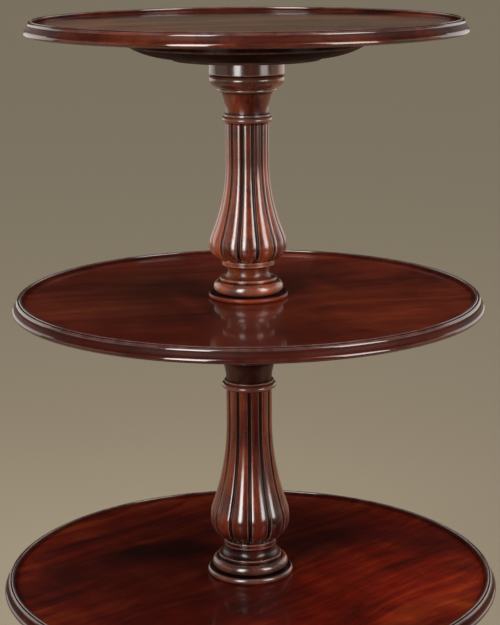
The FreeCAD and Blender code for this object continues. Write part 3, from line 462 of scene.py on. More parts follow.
@dataclass(frozen=True)
class MahoganyFinish:
    """Polished mahogany of one colouring."""

    name: str
    dark: Colour
    middle: Colour
    light: Colour
    run: GrainRun
    turn: float = 0.0
    shift: Triple = (0.0, 0.0, 0.0)
    figure: float = 1.3
    streaks: float = 0.55
    smooth: float = 0.16
    dull: float = 0.26
    specular: float = 0.12
    coat: float = 1.0
    coat_index: float = 1.85
    coat_roughness: float = 0.2
    ripple: float = 0.08
    ripple_depth: float = 0.0012
    pore_depth: float = 0.03
    # The grime colour also colours painted shade; the worn colour and wear also paint a pale sheen on edges
    grime_and_shade: Colour = (0.003, 0.0015, 0.0012, 1.0)
    grime_roughness: float = 0.3
    worn_and_sheen: Colour = (0.36, 0.2, 0.16, 1.0)
    stain: float = 1.0
    wear_and_sheen: float = 0.7
    nicks: float = 0.15
    scratched: Optional[Patch] = None
    patches: tuple[Patch, ...] = ()
    bands: tuple[Band, ...] = ()

    def with_figure_and_painted_light(self, tree: Tree, effects: Effects, place: Socket,
                colour: Socket) -> Socket:
        """Lays the patches, bands and scratches over a colour.

        Args:
            tree: The material's tree.
            effects: The shared node groups.
            place: Where the surface is.
            colour: The colour of the plain grain.

        Returns:
            The colour with its darker and paler places, among them painted light and shade.
        """
        for patch in self.patches:
            colour = patch.tinted(tree, effects, place, colour)
        for band in self.bands:
            colour = band.tinted(tree, place, colour)
        if self.scratched:
            marks = effects.scratches.place(tree, Vector=place)["Mask"]
            share = tree.math("MULTIPLY", marks, self.scratched.mask(tree, effects, place))
            colour = tree.mix(share, colour, self.scratched.tint)
        return colour

    def material(self, effects: Effects) -> Material:
        """Builds the finish.

        Args:
            effects: The shared node groups.

        Returns:
            A material for pieces that carry the crevice and edge masks.
        """
        material, tree, shader = new_material(self.name)
        place = tree.node("ShaderNodeTexCoord").outputs["Object"]
        rotation = Euler(self.run.value)
        rotation.rotate_axis("Z", math.radians(self.turn))
        mapping = {"Vector": place, "Location": self.shift, "Rotation": rotation}
        along = tree.node("ShaderNodeMapping", mapping).outputs[0]
        grain = effects.grain.place(tree, Vector=along, Figure=self.figure, Streaks=self.streaks,
                                    Dark=self.dark, Middle=self.middle, Light=self.light)
        colour = self.with_figure_and_painted_light(tree, effects, place, grain["Color"])
        edge = tree.mask(EDGE)
        aged = effects.patina_and_shade.place(tree, Color=colour, Vector=place, Crevice=tree.mask(CREVICE), Edge=edge,
                                    Grime=self.grime_and_shade, Worn=self.worn_and_sheen, Stain=self.stain, Wear=self.wear_and_sheen)
        polish = effects.polish.place(tree, Vector=place, Smooth=self.smooth, Dull=self.dull,
                                      Nicks=tree.math("MULTIPLY", edge, self.nicks))
        height = tree.math("MULTIPLY_ADD", grain["Pores"], -self.pore_depth, polish["Height"])
        tree.join(shader, {
            "Base Color": aged["Color"],
            "Roughness": tree.math("MULTIPLY_ADD", aged["Grime"], self.grime_roughness, polish["Roughness"]),
            "Specular IOR Level": self.specular,
            "Coat Weight": tree.math("MULTIPLY_ADD", aged["Grime"], -self.coat, self.coat),
            "Coat Roughness": self.coat_roughness,
            "Coat IOR": self.coat_index,
            "Normal": tree.bump(height, self.ripple, self.ripple_depth),
        })
        return material


@dataclass(frozen=True)
class MetalFinish:
    """Bare or lacquered metal that has tarnished in patches."""

    name: str
    clean: Colour
    tarnished: Colour
    bright: float
    dull: float
    metallic: float = 1.0
    tarnish_scale: float = 70.0
    tarnish_tones: Point = (0.35, 0.7)
    polish_scale: float = 6.0
    nicks: float = 0.2
    ripple: float = 0.15
    ripple_depth: float = 0.0003

    def material(self, effects: Effects) -> Material:
        """Builds the finish from the shared node groups."""
        material, tree, shader = new_material(self.name)
        place = tree.node("ShaderNodeTexCoord").outputs["Object"]
        tarnish = tree.remap(tree.cloud(place, self.tarnish_scale, detail=5.0), *self.tarnish_tones)
        polish = effects.polish.place(tree, Vector=tree.scaled(place, self.polish_scale),
                                      Smooth=self.bright, Dull=self.dull, Nicks=self.nicks)
        tree.join(shader, {
            "Base Color": tree.mix(tarnish, self.clean, self.tarnished),
            "Metallic": self.metallic,
            "Roughness": polish["Roughness"],
            "Normal": tree.bump(polish["Height"], self.ripple, self.ripple_depth),
        })
        return material


# On the boards the pale mauve worn colour and strong wear along crest and ovolo are partly real wear and
# partly a painted sheen
BOARD_POLISH = {
    "smooth": 0.12, "dull": 0.2, "coat_roughness": 0.08, "coat_index": 1.8, "wear_and_sheen": 0.8, "stain": 0.4,
    "worn_and_sheen": (0.2, 0.125, 0.115, 1.0), "grime_and_shade": (0.02, 0.004, 0.002, 1.0),
}
FINISHES = (
    MahoganyFinish(
        "top_board", (0.014, 0.0026, 0.0013, 1), (0.085, 0.0145, 0.0054, 1), (0.22, 0.05, 0.0145, 1),
        GrainRun.ALONG_BOARD, turn=-15.0, shift=(0.3, 1.7, 0.2), figure=1.5,
        # The band darkens the whole rim as painted shade, against the lamps that light it more strongly than
        # the panel
        bands=(Band(0.2607, 0.2627, (0.6, 0.46, 0.44, 1)),),
        patches=(Patch((-0.2645, -0.081), (0.006, 0.0007), (0.02, 0.02, 0.02, 1), turn=17.0, ragged=0.0),),
        **BOARD_POLISH),
    MahoganyFinish(
        "middle_board", (0.0364, 0.0055, 0.0031, 1), (0.118, 0.0158, 0.0076, 1), (0.203, 0.0343, 0.013, 1),
        GrainRun.ALONG_BOARD, turn=-18.0, shift=(2.1, 0.4, 0.7), figure=0.8,
        # The band darkens the whole rim as painted shade, against the lamps that light it more strongly than
        # the panel
        bands=(Band(0.2865, 0.2885, (0.45, 0.4, 0.36, 1)),),
        # Painted light and shade: the patch at the back and the one on the right brighten the panel where the
        # top board and the lamps leave it darker, and the patch at the front darkens it where the lamps light
        # it most
        patches=(Patch((0.05, 0.2), (0.3, 0.16), (1.95, 2.1, 2.1, 1), 0.9),
                 Patch((-0.03, -0.21), (0.24, 0.12), (0.6, 0.42, 0.42, 1), 0.95),
                 Patch((-0.12, 0.04), (0.17, 0.13), (0.75, 0.95, 1.0, 1), 0.6, -60.0),
                 Patch((-0.07, -0.06), (0.16, 0.014), (1.6, 1.6, 1.5, 1), 0.6, -72.0),
                 Patch((0.18, -0.05), (0.17, 0.15), (1.85, 1.8, 1.4, 1), 0.9, 20.0),
                 Patch((-0.19, -0.07), (0.07, 0.04), (1.3, 1.6, 1.4, 1), 0.7, 10.0)),
        **BOARD_POLISH),
    MahoganyFinish(
        "lower_board", (0.027, 0.0012, 0.0005, 1), (0.1, 0.0043, 0.0013, 1), (0.193, 0.0215, 0.0043, 1),
        GrainRun.ALONG_BOARD, turn=-45.0, shift=(1.2, 3.1, 0.1), figure=0.8, streaks=0.75,
        scratched=Patch((0.19, -0.06), (0.14, 0.1), (0.22, 0.06, 0.03, 1), 0.4, 20.0),
        bands=(Band(0.245, 0.305, (1.5, 2.2, 1.5, 1), is_cloudy=True),
               # This band darkens the whole rim as painted shade, against the lamps that light it more
               # strongly than the panel
               Band(0.3097, 0.3117, (0.35, 0.5, 0.9, 1))),
        patches=(Patch((-0.11, 0.07), (0.12, 0.05), (0.22, 0.25, 0.4, 1), 0.95, 15.0),
                 Patch((-0.13, -0.02), (0.17, 0.12), (0.62, 0.5, 0.6, 1), 0.9),
                 Patch((0.0, 0.2), (0.26, 0.11), (0.7, 0.75, 0.8, 1), 0.9),
                 Patch((0.1, 0.11), (0.1, 0.045), (0.3, 0.35, 0.5, 1), 0.85, 35.0),
                 Patch((0.19, -0.04), (0.17, 0.15), (3.2, 3.4, 2.2, 1), 0.9, 45.0),
                 Patch((0.05, -0.21), (0.16, 0.07), (2.1, 1.9, 1.5, 1), 0.8, 20.0)),
        **BOARD_POLISH),
    MahoganyFinish(
        "upper_turning", (0.064, 0.0095, 0.004, 1), (0.28, 0.05, 0.013, 1), (0.5, 0.13, 0.029, 1),
        GrainRun.UP_COLUMN, shift=(0.6, 0.2, 1.3), figure=1.5, wear_and_sheen=0.9),
    MahoganyFinish(
        "upper_ring", (0.07, 0.008, 0.003, 1), (0.17, 0.019, 0.0065, 1), (0.27, 0.042, 0.011, 1),
        GrainRun.ALONG_BOARD, shift=(0.9, 0.5, 0.4), smooth=0.35, dull=0.45, coat=0.12, wear_and_sheen=0.15),
    # The lower turning is darker than the upper one partly as its own tone and partly as painted shade under
    # the middle board
    MahoganyFinish(
        "lower_turning_with_painted_shade", (0.027, 0.0036, 0.0018, 1), (0.128, 0.0172, 0.007, 1), (0.32, 0.068, 0.02, 1),
        GrainRun.UP_COLUMN, shift=(1.9, 0.8, 0.3), figure=1.6, wear_and_sheen=0.8),
    # The saucers' near-black colour is partly their tone and partly painted shade under their boards; their
    # wear paints a pale line on the step, partly wear and partly a painted highlight
    MahoganyFinish(
        "tier_block", (0.006, 0.002, 0.0014, 1), (0.022, 0.006, 0.004, 1), (0.05, 0.013, 0.007, 1),
        GrainRun.UP_COLUMN, shift=(0.2, 1.1, 2.3), smooth=0.45, dull=0.6, specular=0.015, coat=0.02,
        wear_and_sheen=0.35),
    MahoganyFinish(
        "carved_leg", (0.02, 0.0042, 0.0026, 1), (0.075, 0.0155, 0.0075, 1), (0.19, 0.05, 0.016, 1),
        GrainRun.ALONG_BOARD, shift=(0.4, 2.2, 0.9)),
    MetalFinish("castor_brass", (0.62, 0.43, 0.17, 1), (0.27, 0.17, 0.065, 1), 0.2, 0.42),
    MetalFinish("black_iron", (0.03, 0.029, 0.028, 1), (0.05, 0.035, 0.026, 1), 0.45, 0.65, 0.6),
    MetalFinish("screw_steel", (0.42, 0.41, 0.39, 1), (0.2, 0.16, 0.12, 1), 0.3, 0.5),
)


def built_finishes() -> dict[str, Material]:
    """Builds every material of the table, each by its name."""
    effects = Effects()
    return {finish.name: finish.material(effects) for finish in FINISHES}


# Turned meshes

ARC_STEP = math.radians(7.5)
LONGEST_CHORD = 0.004
SOFTENED_TURN = math.radians(16.0)
CUSP_TURN = math.radians(150.0)
FEWEST_STEPS = 2
SOFT_STEPS = 4
CUSHION_STEPS = 12
EIGHTH_TURN_REACH = math.sqrt(0.5)
AXIS_RADIUS = 1e-6
MEETING_DISTANCE = 5e-6
NEAR_BEND = 0.0012
WIDE_BEND = 0.004
NEAR_BRACE = 0.0016
WIDE_BRACE = 0.0045
FULL_HOLLOW = 0.75
FULL_ARRIS = 0.9
LARGEST_CUT = 0.45
SHARPEST_TURN = 2.4


class Profile:
    """Half section of a turning, traced outwards and downwards with the wood on its right."""

    def __init__(self, radius: float, height: float) -> None:
        """Starts the trace at one point."""
        self.points: list[Point] = [(radius, height)]
        self.straight: list[bool] = []

    @property
    def radius(self) -> float:
        """Radius of the last point."""
        return self.points[-1][0]

    @property
    def height(self) -> float:
        """Height of the last point."""
        return self.points[-1][1]

    def line(self, radius: float, height: float) -> None:
        """Goes straight to a point."""
        self.points.append((radius, height))
        self.straight.append(True)

    def arc(self, radius: float, height: float, centre: Point, clockwise: bool) -> None:
        """Goes round a centre to a point.

        Args:
            radius: Radius of the point.
            height: Height of the point.
            centre: The arc's centre.
            clockwise: Which way round it goes, seen with the axis on the left.
        """
        start = self.points[-1]
        first = math.atan2(start[1] - centre[1], start[0] - centre[0])
        last = math.atan2(height - centre[1], radius - centre[0])
        if clockwise and last >= first:
            last -= FULL_TURN
        if not clockwise and last <= first:
            last += FULL_TURN
        bow = math.dist(start, centre)
        sweep = last - first
        steps = math.ceil(max(abs(sweep) / ARC_STEP, abs(sweep) * bow / LONGEST_CHORD, FEWEST_STEPS))
        for step in range(1, steps + 1):
            turn = first + sweep * step / steps
            self.soft(centre[0] + bow * math.cos(turn), centre[1] + bow * math.sin(turn))

    def band(self, radius: float, height: float) -> None:
        """A straight fillet or drum."""
        top = self.height
        self.line(radius, top)
        self.line(radius, top - height)

    def half_round(self, radius: float, height: float) -> None:
        """A torus, bead or astragal of the given outer radius."""
        top = self.height
        edge = radius - height / 2
        self.line(edge, top)
        self.arc(edge, top - height, (edge, top - height / 2), clockwise=True)

    def cushion(self, radius: float, height: float, top_radius: float, bottom_radius: float,
                widest: float) -> None:
        """A torus that is widest above its middle.

        Args:
            radius: Its outer radius.
            height: Its height.
            top_radius: Radius at its top.
            bottom_radius: Radius at its foot.
            widest: Share of the height from its top to where it is widest.
        """
        middle = self.height - widest * height
        quarter = [step * math.pi / 2 / CUSHION_STEPS for step in range(1, CUSHION_STEPS + 1)]
        self.line(top_radius, self.height)
        for turn in quarter:
            self.soft(top_radius + (radius - top_radius) * math.sin(turn),
                      middle + widest * height * math.cos(turn))
        for turn in quarter:
            self.soft(bottom_radius + (radius - bottom_radius) * math.cos(turn),
                      middle - (1 - widest) * height * math.sin(turn))

    def soft(self, radius: float, height: float) -> None:
        """Goes to the next point of a curve."""
        self.points.append((radius, height))
        self.straight.append(False)

    def hollow(self, top_radius: float, bottom_radius: float, height: float) -> None:
        """A cavetto that runs in from its top and is upright at its foot."""
        top = self.height
        bow = sagitta_radius(height, top_radius - bottom_radius)
        self.line(top_radius, top)
        self.arc(bottom_radius, top - height, (bottom_radius + bow, top - height), clockwise=False)

    def flared(self, bottom_radius: float, height: float) -> None:
        """A cavetto that is upright at its top and runs out at its foot."""
        top = self.height
        radius = self.radius
        bow = sagitta_radius(height, bottom_radius - radius)
        self.arc(bottom_radius, top - height, (radius + bow, top), clockwise=False)

    def softened(self, softness: float, closed: bool) -> np.ndarray:
        """Rounds every corner a little, apart from cusps, and braces the flats beside it.

        Args:
            softness: Radius that a square corner is rounded to.
            closed: Whether the trace goes back to its start.

        Returns:
            The points of the rounded trace, one row each.
        """
        points = np.array(self.points)
        count = len(points)
        runs = np.roll(points, -1, axis=0) - points
        lengths = np.linalg.norm(runs, axis=1)
        lengths[lengths == 0] = AXIS_RADIUS
        headings = runs / lengths[:, None]
        cuts = np.zeros(count)
        for index in range(count):
            if not closed and index in (0, count - 1):
                continue
            turn = math.acos(float(np.clip(headings[index - 1] @ headings[index], -1, 1)))
            if SOFTENED_TURN < turn < CUSP_TURN:
                room = LARGEST_CUT * min(lengths[index - 1], lengths[index])
                cuts[index] = min(softness * math.tan(min(turn, SHARPEST_TURN) / 2), room)
        rounded = []
        straight = self.straight + [True]
        for index, corner in enumerate(points):
            follower = (index + 1) % count
            start = corner - headings[index - 1] * cuts[index]
            end = corner + headings[index] * cuts[index]
            shares = np.linspace(0, 1, SOFT_STEPS + 1) if cuts[index] > 0 else [0.0]
            for share in shares:
                rounded.append((1 - share) ** 2 * start + 2 * share * (1 - share) * corner + share ** 2 * end)
            is_open_end = not closed and index == count - 1
            room = lengths[index] - cuts[index] - cuts[follower]
            if straight[index] and not is_open_end:
                near = [brace for brace in (softness, NEAR_BRACE, WIDE_BRACE) if brace < room / 2]
                for place in near + [room - brace for brace in reversed(near)]:
                    rounded.append(end + headings[index] * place)
        return np.array(rounded)

    def rings(self, softness: float, turns: np.ndarray, closed: bool) -> "Rings":
        """Rounds the trace's corners and turns it about the axis, with points at the given angles."""
        return Rings.turned(self.softened(softness, closed), turns, closed)


def sagitta_radius(run: float, rise: float) -> float:
    """Radius of an arc that leaves a straight line tangentially and rises by rise over run."""
    return (run * run + rise * rise) / (2 * rise)


def bends(points: np.ndarray, closed: bool, reach: float) -> np.ndarray:
    """How sharply a trace turns about each of its points.

    Args:
        points: The trace.
        closed: Whether it goes back to its start.
        reach: How far to either side of a point the turn is measured.

    Returns:
        The turn at each point in radians, above 0 in a hollow and below 0 on an arris.
    """
    if closed:
        looped = np.concatenate([points, points, points, points[:1]])
    else:
        looped = points
    steps = np.linalg.norm(np.diff(looped, axis=0), axis=1)
    along = np.concatenate([[0], np.cumsum(steps)])
    places = along[len(points):2 * len(points)] if closed else along

    def at(distances: np.ndarray) -> np.ndarray:
        """Points of the trace at distances along it."""
        return np.stack([np.interp(distances, along, looped[:, axis]) for axis in (0, 1)], axis=1)

    before = points - at(places - reach)
    after = at(places + reach) - points
    cross = before[:, 0] * after[:, 1] - before[:, 1] * after[:, 0]
    dot = (before * after).sum(axis=1)
    return np.arctan2(cross, dot)


@dataclass
class Grid:
    """Points in rows that close on themselves, with the masks that they carry."""

    places: np.ndarray
    crevice: np.ndarray
    edge: np.ndarray
    is_loop: bool = False

    def faces(self, first: int) -> np.ndarray:
        """Joins the points into quads, counted from a first number."""
        rows, spokes = self.crevice.shape
        corners = first + np.arange(rows * spokes).reshape(rows, spokes)
        upper = corners if self.is_loop else corners[:-1]
        lower = np.roll(corners, -1, axis=0) if self.is_loop else corners[1:]
        quads = np.stack([upper, lower, np.roll(lower, -1, axis=1), np.roll(upper, -1, axis=1)], axis=-1)
        return quads.reshape(-1, 4)


def placed(name: str, data: bpy.types.ID) -> bpy.types.Object:
    """Puts new data into the scene as an object."""
    made = bpy.data.objects.new(name, data)
    bpy.context.scene.collection.objects.link(made)
    return made


def skinned(name: str, grids: Sequence[Grid]) -> bpy.types.Object:
    """Makes one mesh of several grids.

    Args:
        name: The new object's name.
        grids: What it is made of.

    Returns:
        The new object, smooth all over, with points that meet made one.
    """
    places = []
    faces = []
    for grid in grids:
        faces += grid.faces(len(places)).tolist()
        places += grid.places.reshape(-1, AXES).tolist()
    mesh = bpy.data.meshes.new(name)
    mesh.from_pydata(places, [], faces)
    for label in (CREVICE, EDGE):
        mask = mesh.attributes.new(label, "FLOAT", "POINT")
        values = np.concatenate([getattr(grid, label).ravel() for grid in grids])
        mask.data.foreach_set("value", values.astype(np.float32))
    welded = bmesh.new()
    welded.from_mesh(mesh)
    bmesh.ops.remove_doubles(welded, verts=welded.verts, dist=MEETING_DISTANCE)
    bmesh.ops.recalc_face_normals(welded, faces=welded.faces)
    welded.to_mesh(mesh)
    welded.free()
    mesh.shade_smooth()
    return placed(name, mesh)


def even_turns(spokes: int) -> np.ndarray:
    """Angles of evenly spaced spokes."""
    return np.arange(spokes) * FULL_TURN / spokes


@dataclass
class Rings:
    """Points round the upright axis, ring by ring and spoke by spoke, with the masks that they carry."""

    radii: np.ndarray
    turns: np.ndarray
    heights: np.ndarray
    crevice: np.ndarray
    edge: np.ndarray

    @classmethod
    def turned(cls, points: np.ndarray, turns: np.ndarray, closed: bool) -> "Rings":
        """Turns a trace about the axis.

        Args:
            points: The trace, as radii and heights.
            turns: Angles of the points round each ring.
            closed: Whether the trace goes back to its start.

        Returns:
            One ring for each point.
        """
        shape = (len(points), len(turns))
        near = bends(points, closed, NEAR_BEND)
        wide = bends(points, closed, WIDE_BEND)
        hollows = np.clip(np.maximum(near, wide) / FULL_HOLLOW, 0, 1)
        arrises = np.clip(-near / FULL_ARRIS, 0, 1)
        columns = (points[:, 0], points[:, 1], hollows, arrises)
        radii, heights, crevice, edge = (np.broadcast_to(column[:, None], shape) for column in columns)
        return cls(radii, np.broadcast_to(turns, shape), heights, crevice, edge)

    @classmethod
    def stacked(cls, parts: Sequence["Rings"]) -> "Rings":
        """Joins runs of rings end to end."""
        names = [field.name for field in fields(cls)]
        return cls(*(np.concatenate([getattr(part, name) for part in parts]) for name in names))

    def grid(self, is_loop: bool) -> Grid:
        """The rings as a grid; a loop joins the last ring to the first, as in a piece with a hole."""
        places = np.stack([
            self.radii * np.cos(self.turns), self.radii * np.sin(self.turns), self.heights,
        ], axis=-1)
        return Grid(places, self.crevice, self.edge, is_loop)


def dress(piece: bpy.types.Object, node: str, material: Material) -> None:
    """Puts a piece in the place of a node of the stand.

    Args:
        piece: The new piece.
        node: The node that it stands for.
        material: Its finish.
    """
    piece.data.materials.append(material)
    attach(piece, STAND)
    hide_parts(node)
    LOG.info("%s: %d faces", piece.name, len(piece.data.polygons))


# Boards, blocks and foot rings

SOFTNESS = 0.0005
SPIGOT_HOLE = 0.01615
PANEL_GRIME = {"top": 0.5, "middle": 0.6, "lower": 0.95}


@dataclass
class TrayTier:
    """A round board with a moulded rim that stands proud of its panel."""

    name: str
    has_hole: bool
    thickness: float = 0.0185
    panel_sink: float = 0.0055
    bead_height: float = 0.0070
    fascia_inset: float = 0.0049
    ovolo_drop: float = 0.0015
    ovolo_height: float = 0.0037
    ovolo_width: float = 0.0028
    quirk_depth: float = 0.0010
    quirk_width: float = 0.0013
    crest_width: float = 0.0032
    step_height: float = 0.0010
    cove_width: float = 0.0098
    softness: float = 0.0002
    quirk_shade: float = 0.0007
    hollow_top: float = 1.12
    bead_wear_and_sheen: float = 0.2
    cove_grime: float = 0.45
    panel_grime: float = 0.0
    spokes: int = 400

    def profile(self) -> Profile:
        """Traces the board from its panel, over the rim and back along its underside."""
        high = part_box(f"{self.name}_tier")[1]
        radius = high.x
        crest = high.z
        inner = SPIGOT_HOLE if self.has_hole else AXIS_RADIUS
        bead = self.bead_height / 2
        bead_centre = radius - bead
        fascia = radius - self.fascia_inset
        bottom = crest - self.thickness
        hollow_foot = bead_centre + bead * EIGHTH_TURN_REACH
        hollow_bottom = bottom + bead + bead * EIGHTH_TURN_REACH
        ovolo_top = crest - self.ovolo_drop
        ovolo_bottom = ovolo_top - self.ovolo_height
        ovolo_bow = sagitta_radius(self.ovolo_height, self.ovolo_width)
        hollow_bow = sagitta_radius(ovolo_bottom - hollow_bottom, hollow_foot - fascia)
        quirk_outer = fascia - self.ovolo_width
        quirk_inner = quirk_outer - self.quirk_width
        quirk_bottom = ovolo_top - self.quirk_depth
        crest_bow = self.crest_width / 2
        crest_base = crest - crest_bow
        crest_inner = quirk_inner - self.crest_width
        cove_top = crest_base - self.step_height
        panel = crest - self.panel_sink
        cove_inner = crest_inner - self.cove_width
        cove_bow = sagitta_radius(self.cove_width, cove_top - panel)
        trace = Profile(inner, panel)
        trace.line(cove_inner, panel)
        trace.arc(crest_inner, cove_top, (cove_inner, panel + cove_bow), clockwise=False)
        trace.line(crest_inner, crest_base)
        trace.arc(quirk_inner, crest_base, (quirk_inner - crest_bow, crest_base), clockwise=True)
        trace.line(quirk_inner, quirk_bottom)
        trace.line(quirk_outer, quirk_bottom)
        trace.line(quirk_outer, ovolo_top)
        trace.arc(fascia, ovolo_bottom, (fascia - ovolo_bow, ovolo_bottom), clockwise=True)
        trace.arc(hollow_foot, hollow_bottom, (fascia + hollow_bow, ovolo_bottom), clockwise=False)
        trace.arc(bead_centre, bottom, (bead_centre, bottom + bead), clockwise=True)
        trace.line(inner, bottom)
        return trace

    def build(self, material: Material) -> None:
        """Turns the board, paints black shade in its quirk, lays grime in its hollow, cove and panel, and
        dresses it.
        """
        rings = self.profile().rings(self.softness, even_turns(self.spokes), closed=self.has_hole)
        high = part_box(f"{self.name}_tier")[1]
        fascia = high.x - self.fascia_inset
        quirk_outer = fascia - self.ovolo_width
        ovolo_bottom = high.z - self.ovolo_drop - self.ovolo_height
        hollow_bottom = high.z - self.thickness + self.bead_height
        is_rim = rings.radii > quirk_outer - self.quirk_width - self.quirk_shade
        is_sunk = (rings.radii < quirk_outer + self.softness) & (rings.heights < high.z - self.quirk_shade)
        is_quirk = is_rim & is_sunk
        hollow_share = (rings.heights - hollow_bottom) / (ovolo_bottom - hollow_bottom)
        is_hollow = is_rim & (hollow_share > 0) & (hollow_share < self.hollow_top)
        crest_inner = quirk_outer - self.quirk_width - self.crest_width
        panel = high.z - self.panel_sink
        is_tray = rings.radii < crest_inner
        is_above = rings.heights > panel - self.softness
        is_cove = is_tray & is_above & (rings.radii > crest_inner - self.cove_width)
        is_panel = is_tray & (np.abs(rings.heights - panel) < self.softness)
        grime_and_shade = np.where(is_hollow, DULL, rings.crevice)
        grime_and_shade = np.where(is_cove, np.maximum(grime_and_shade, self.cove_grime), grime_and_shade)
        grime_and_shade = np.where(is_panel, np.maximum(grime_and_shade, self.panel_grime), grime_and_shade)
        # The quirk and the crest's lower outer face are painted black: a painted shade line between crest and
        # ovolo
        rings.crevice = np.where(is_quirk, PAINTED_SHADE_BLACK, grime_and_shade)
        # Edge wear on the crest and ovolo, fainter on the bead: partly wear and partly a painted sheen
        wear_and_sheen = np.where(hollow_share > 0, rings.edge, self.bead_wear_and_sheen * rings.edge)
        rings.edge = np.where(is_quirk | is_hollow | is_cove, 0.0, wear_and_sheen)
        piece = skinned(f"{self.name}_board", [rings.grid(is_loop=self.has_hole)])
        dress(piece, f"{self.name}_tier", material)


@dataclass
class TierBlock:
    """The turned saucer under a board, with a stepped face that the column's drum meets."""

    name: str
    sweep_height: float = 0.0142
    sweep_start: float = 0.098
    step_radius: float = 0.095
    step_height: float = 0.004
    spokes: int = 240

    def build(self, material: Material) -> None:
        """Turns the saucer and dresses it."""
        low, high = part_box(f"{self.name}_tier_block")
        radius = high.x
        sweep_bottom = low.z + self.step_height
        bow = sagitta_radius(radius - self.sweep_start, self.sweep_height)
        step_edge = self.step_radius - self.step_height / 2
        trace = Profile(SPIGOT_HOLE, high.z)
        trace.line(radius, high.z)
        trace.line(radius, sweep_bottom + self.sweep_height)
        trace.arc(self.sweep_start, sweep_bottom, (self.sweep_start, sweep_bottom + bow), clockwise=True)
        trace.line(step_edge, sweep_bottom)
        trace.arc(step_edge, low.z, (step_edge, low.z + self.step_height / 2), clockwise=True)
        trace.line(SPIGOT_HOLE, low.z)
        rings = trace.rings(SOFTNESS, even_turns(self.spokes), closed=True)
        piece = skinned(f"{self.name}_saucer", [rings.grid(is_loop=True)])
        dress(piece, f"{self.name}_tier_block", material)


@dataclass
class FootRing:
    """The half-round ring that stands on a board round a column's foot."""

    column: str
    seat_shade: float = 0.0015
    spokes: int = 200

    def build(self, material: Material) -> None:
        """Turns the ring, paints shade on its top under the torus, and dresses it."""
        low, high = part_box(f"{self.column}_foot_ring")
        trace = Profile(SPIGOT_HOLE, high.z)
        trace.half_round(high.x, high.z - low.z)
        trace.line(SPIGOT_HOLE, low.z)
        rings = trace.rings(SOFTNESS, even_turns(self.spokes), closed=True)
        # The ring's top under the column's torus is painted dark as the shade of the gap between them
        is_seat = (rings.heights > high.z - SOFTNESS) & (rings.radii < high.x - self.seat_shade)
        rings.crevice = np.where(is_seat, 1.0, rings.crevice)
        piece = skinned(f"{self.column}_foot_torus", [rings.grid(is_loop=True)])
        dress(piece, f"{self.column}_foot_ring", material)


# Columns

LOBE_COUNT = 12
HALF_PITCH = math.pi / LOBE_COUNT
REED_SHARES = (-1.0, -0.985, -0.95, -0.88, -0.76, -0.58, -0.35, -0.12,
               0.12, 0.35, 0.58, 0.76, 0.88, 0.95, 0.985)
CHANNEL_SHARES = (-1.0, -0.96, -0.85, -0.6, -0.2, 0.2, 0.6, 0.85, 0.96)


@dataclass
class Capital:
    """Upper mouldings of a column, each as a radius and a height."""

    drum: Moulding
    quirk: Moulding
    torus: Moulding
    necking: Moulding
    neck_top_radius: float
    neck: Moulding
    collar: Moulding
    astragal: Moulding
    torus_top_inset: float = 0.0047
    torus_widest: float = 0.28

    def trace(self, outline: Profile) -> None:
        """Carries a column's trace down to the top of its shaft."""
        radius, height = self.torus
        outline.band(*self.drum)
        outline.band(*self.quirk)
        outline.cushion(radius, height, radius - self.torus_top_inset, self.necking[0], self.torus_widest)
        outline.half_round(*self.necking)
        outline.hollow(self.neck_top_radius, *self.neck)
        outline.band(*self.collar)
        outline.half_round(*self.astragal)


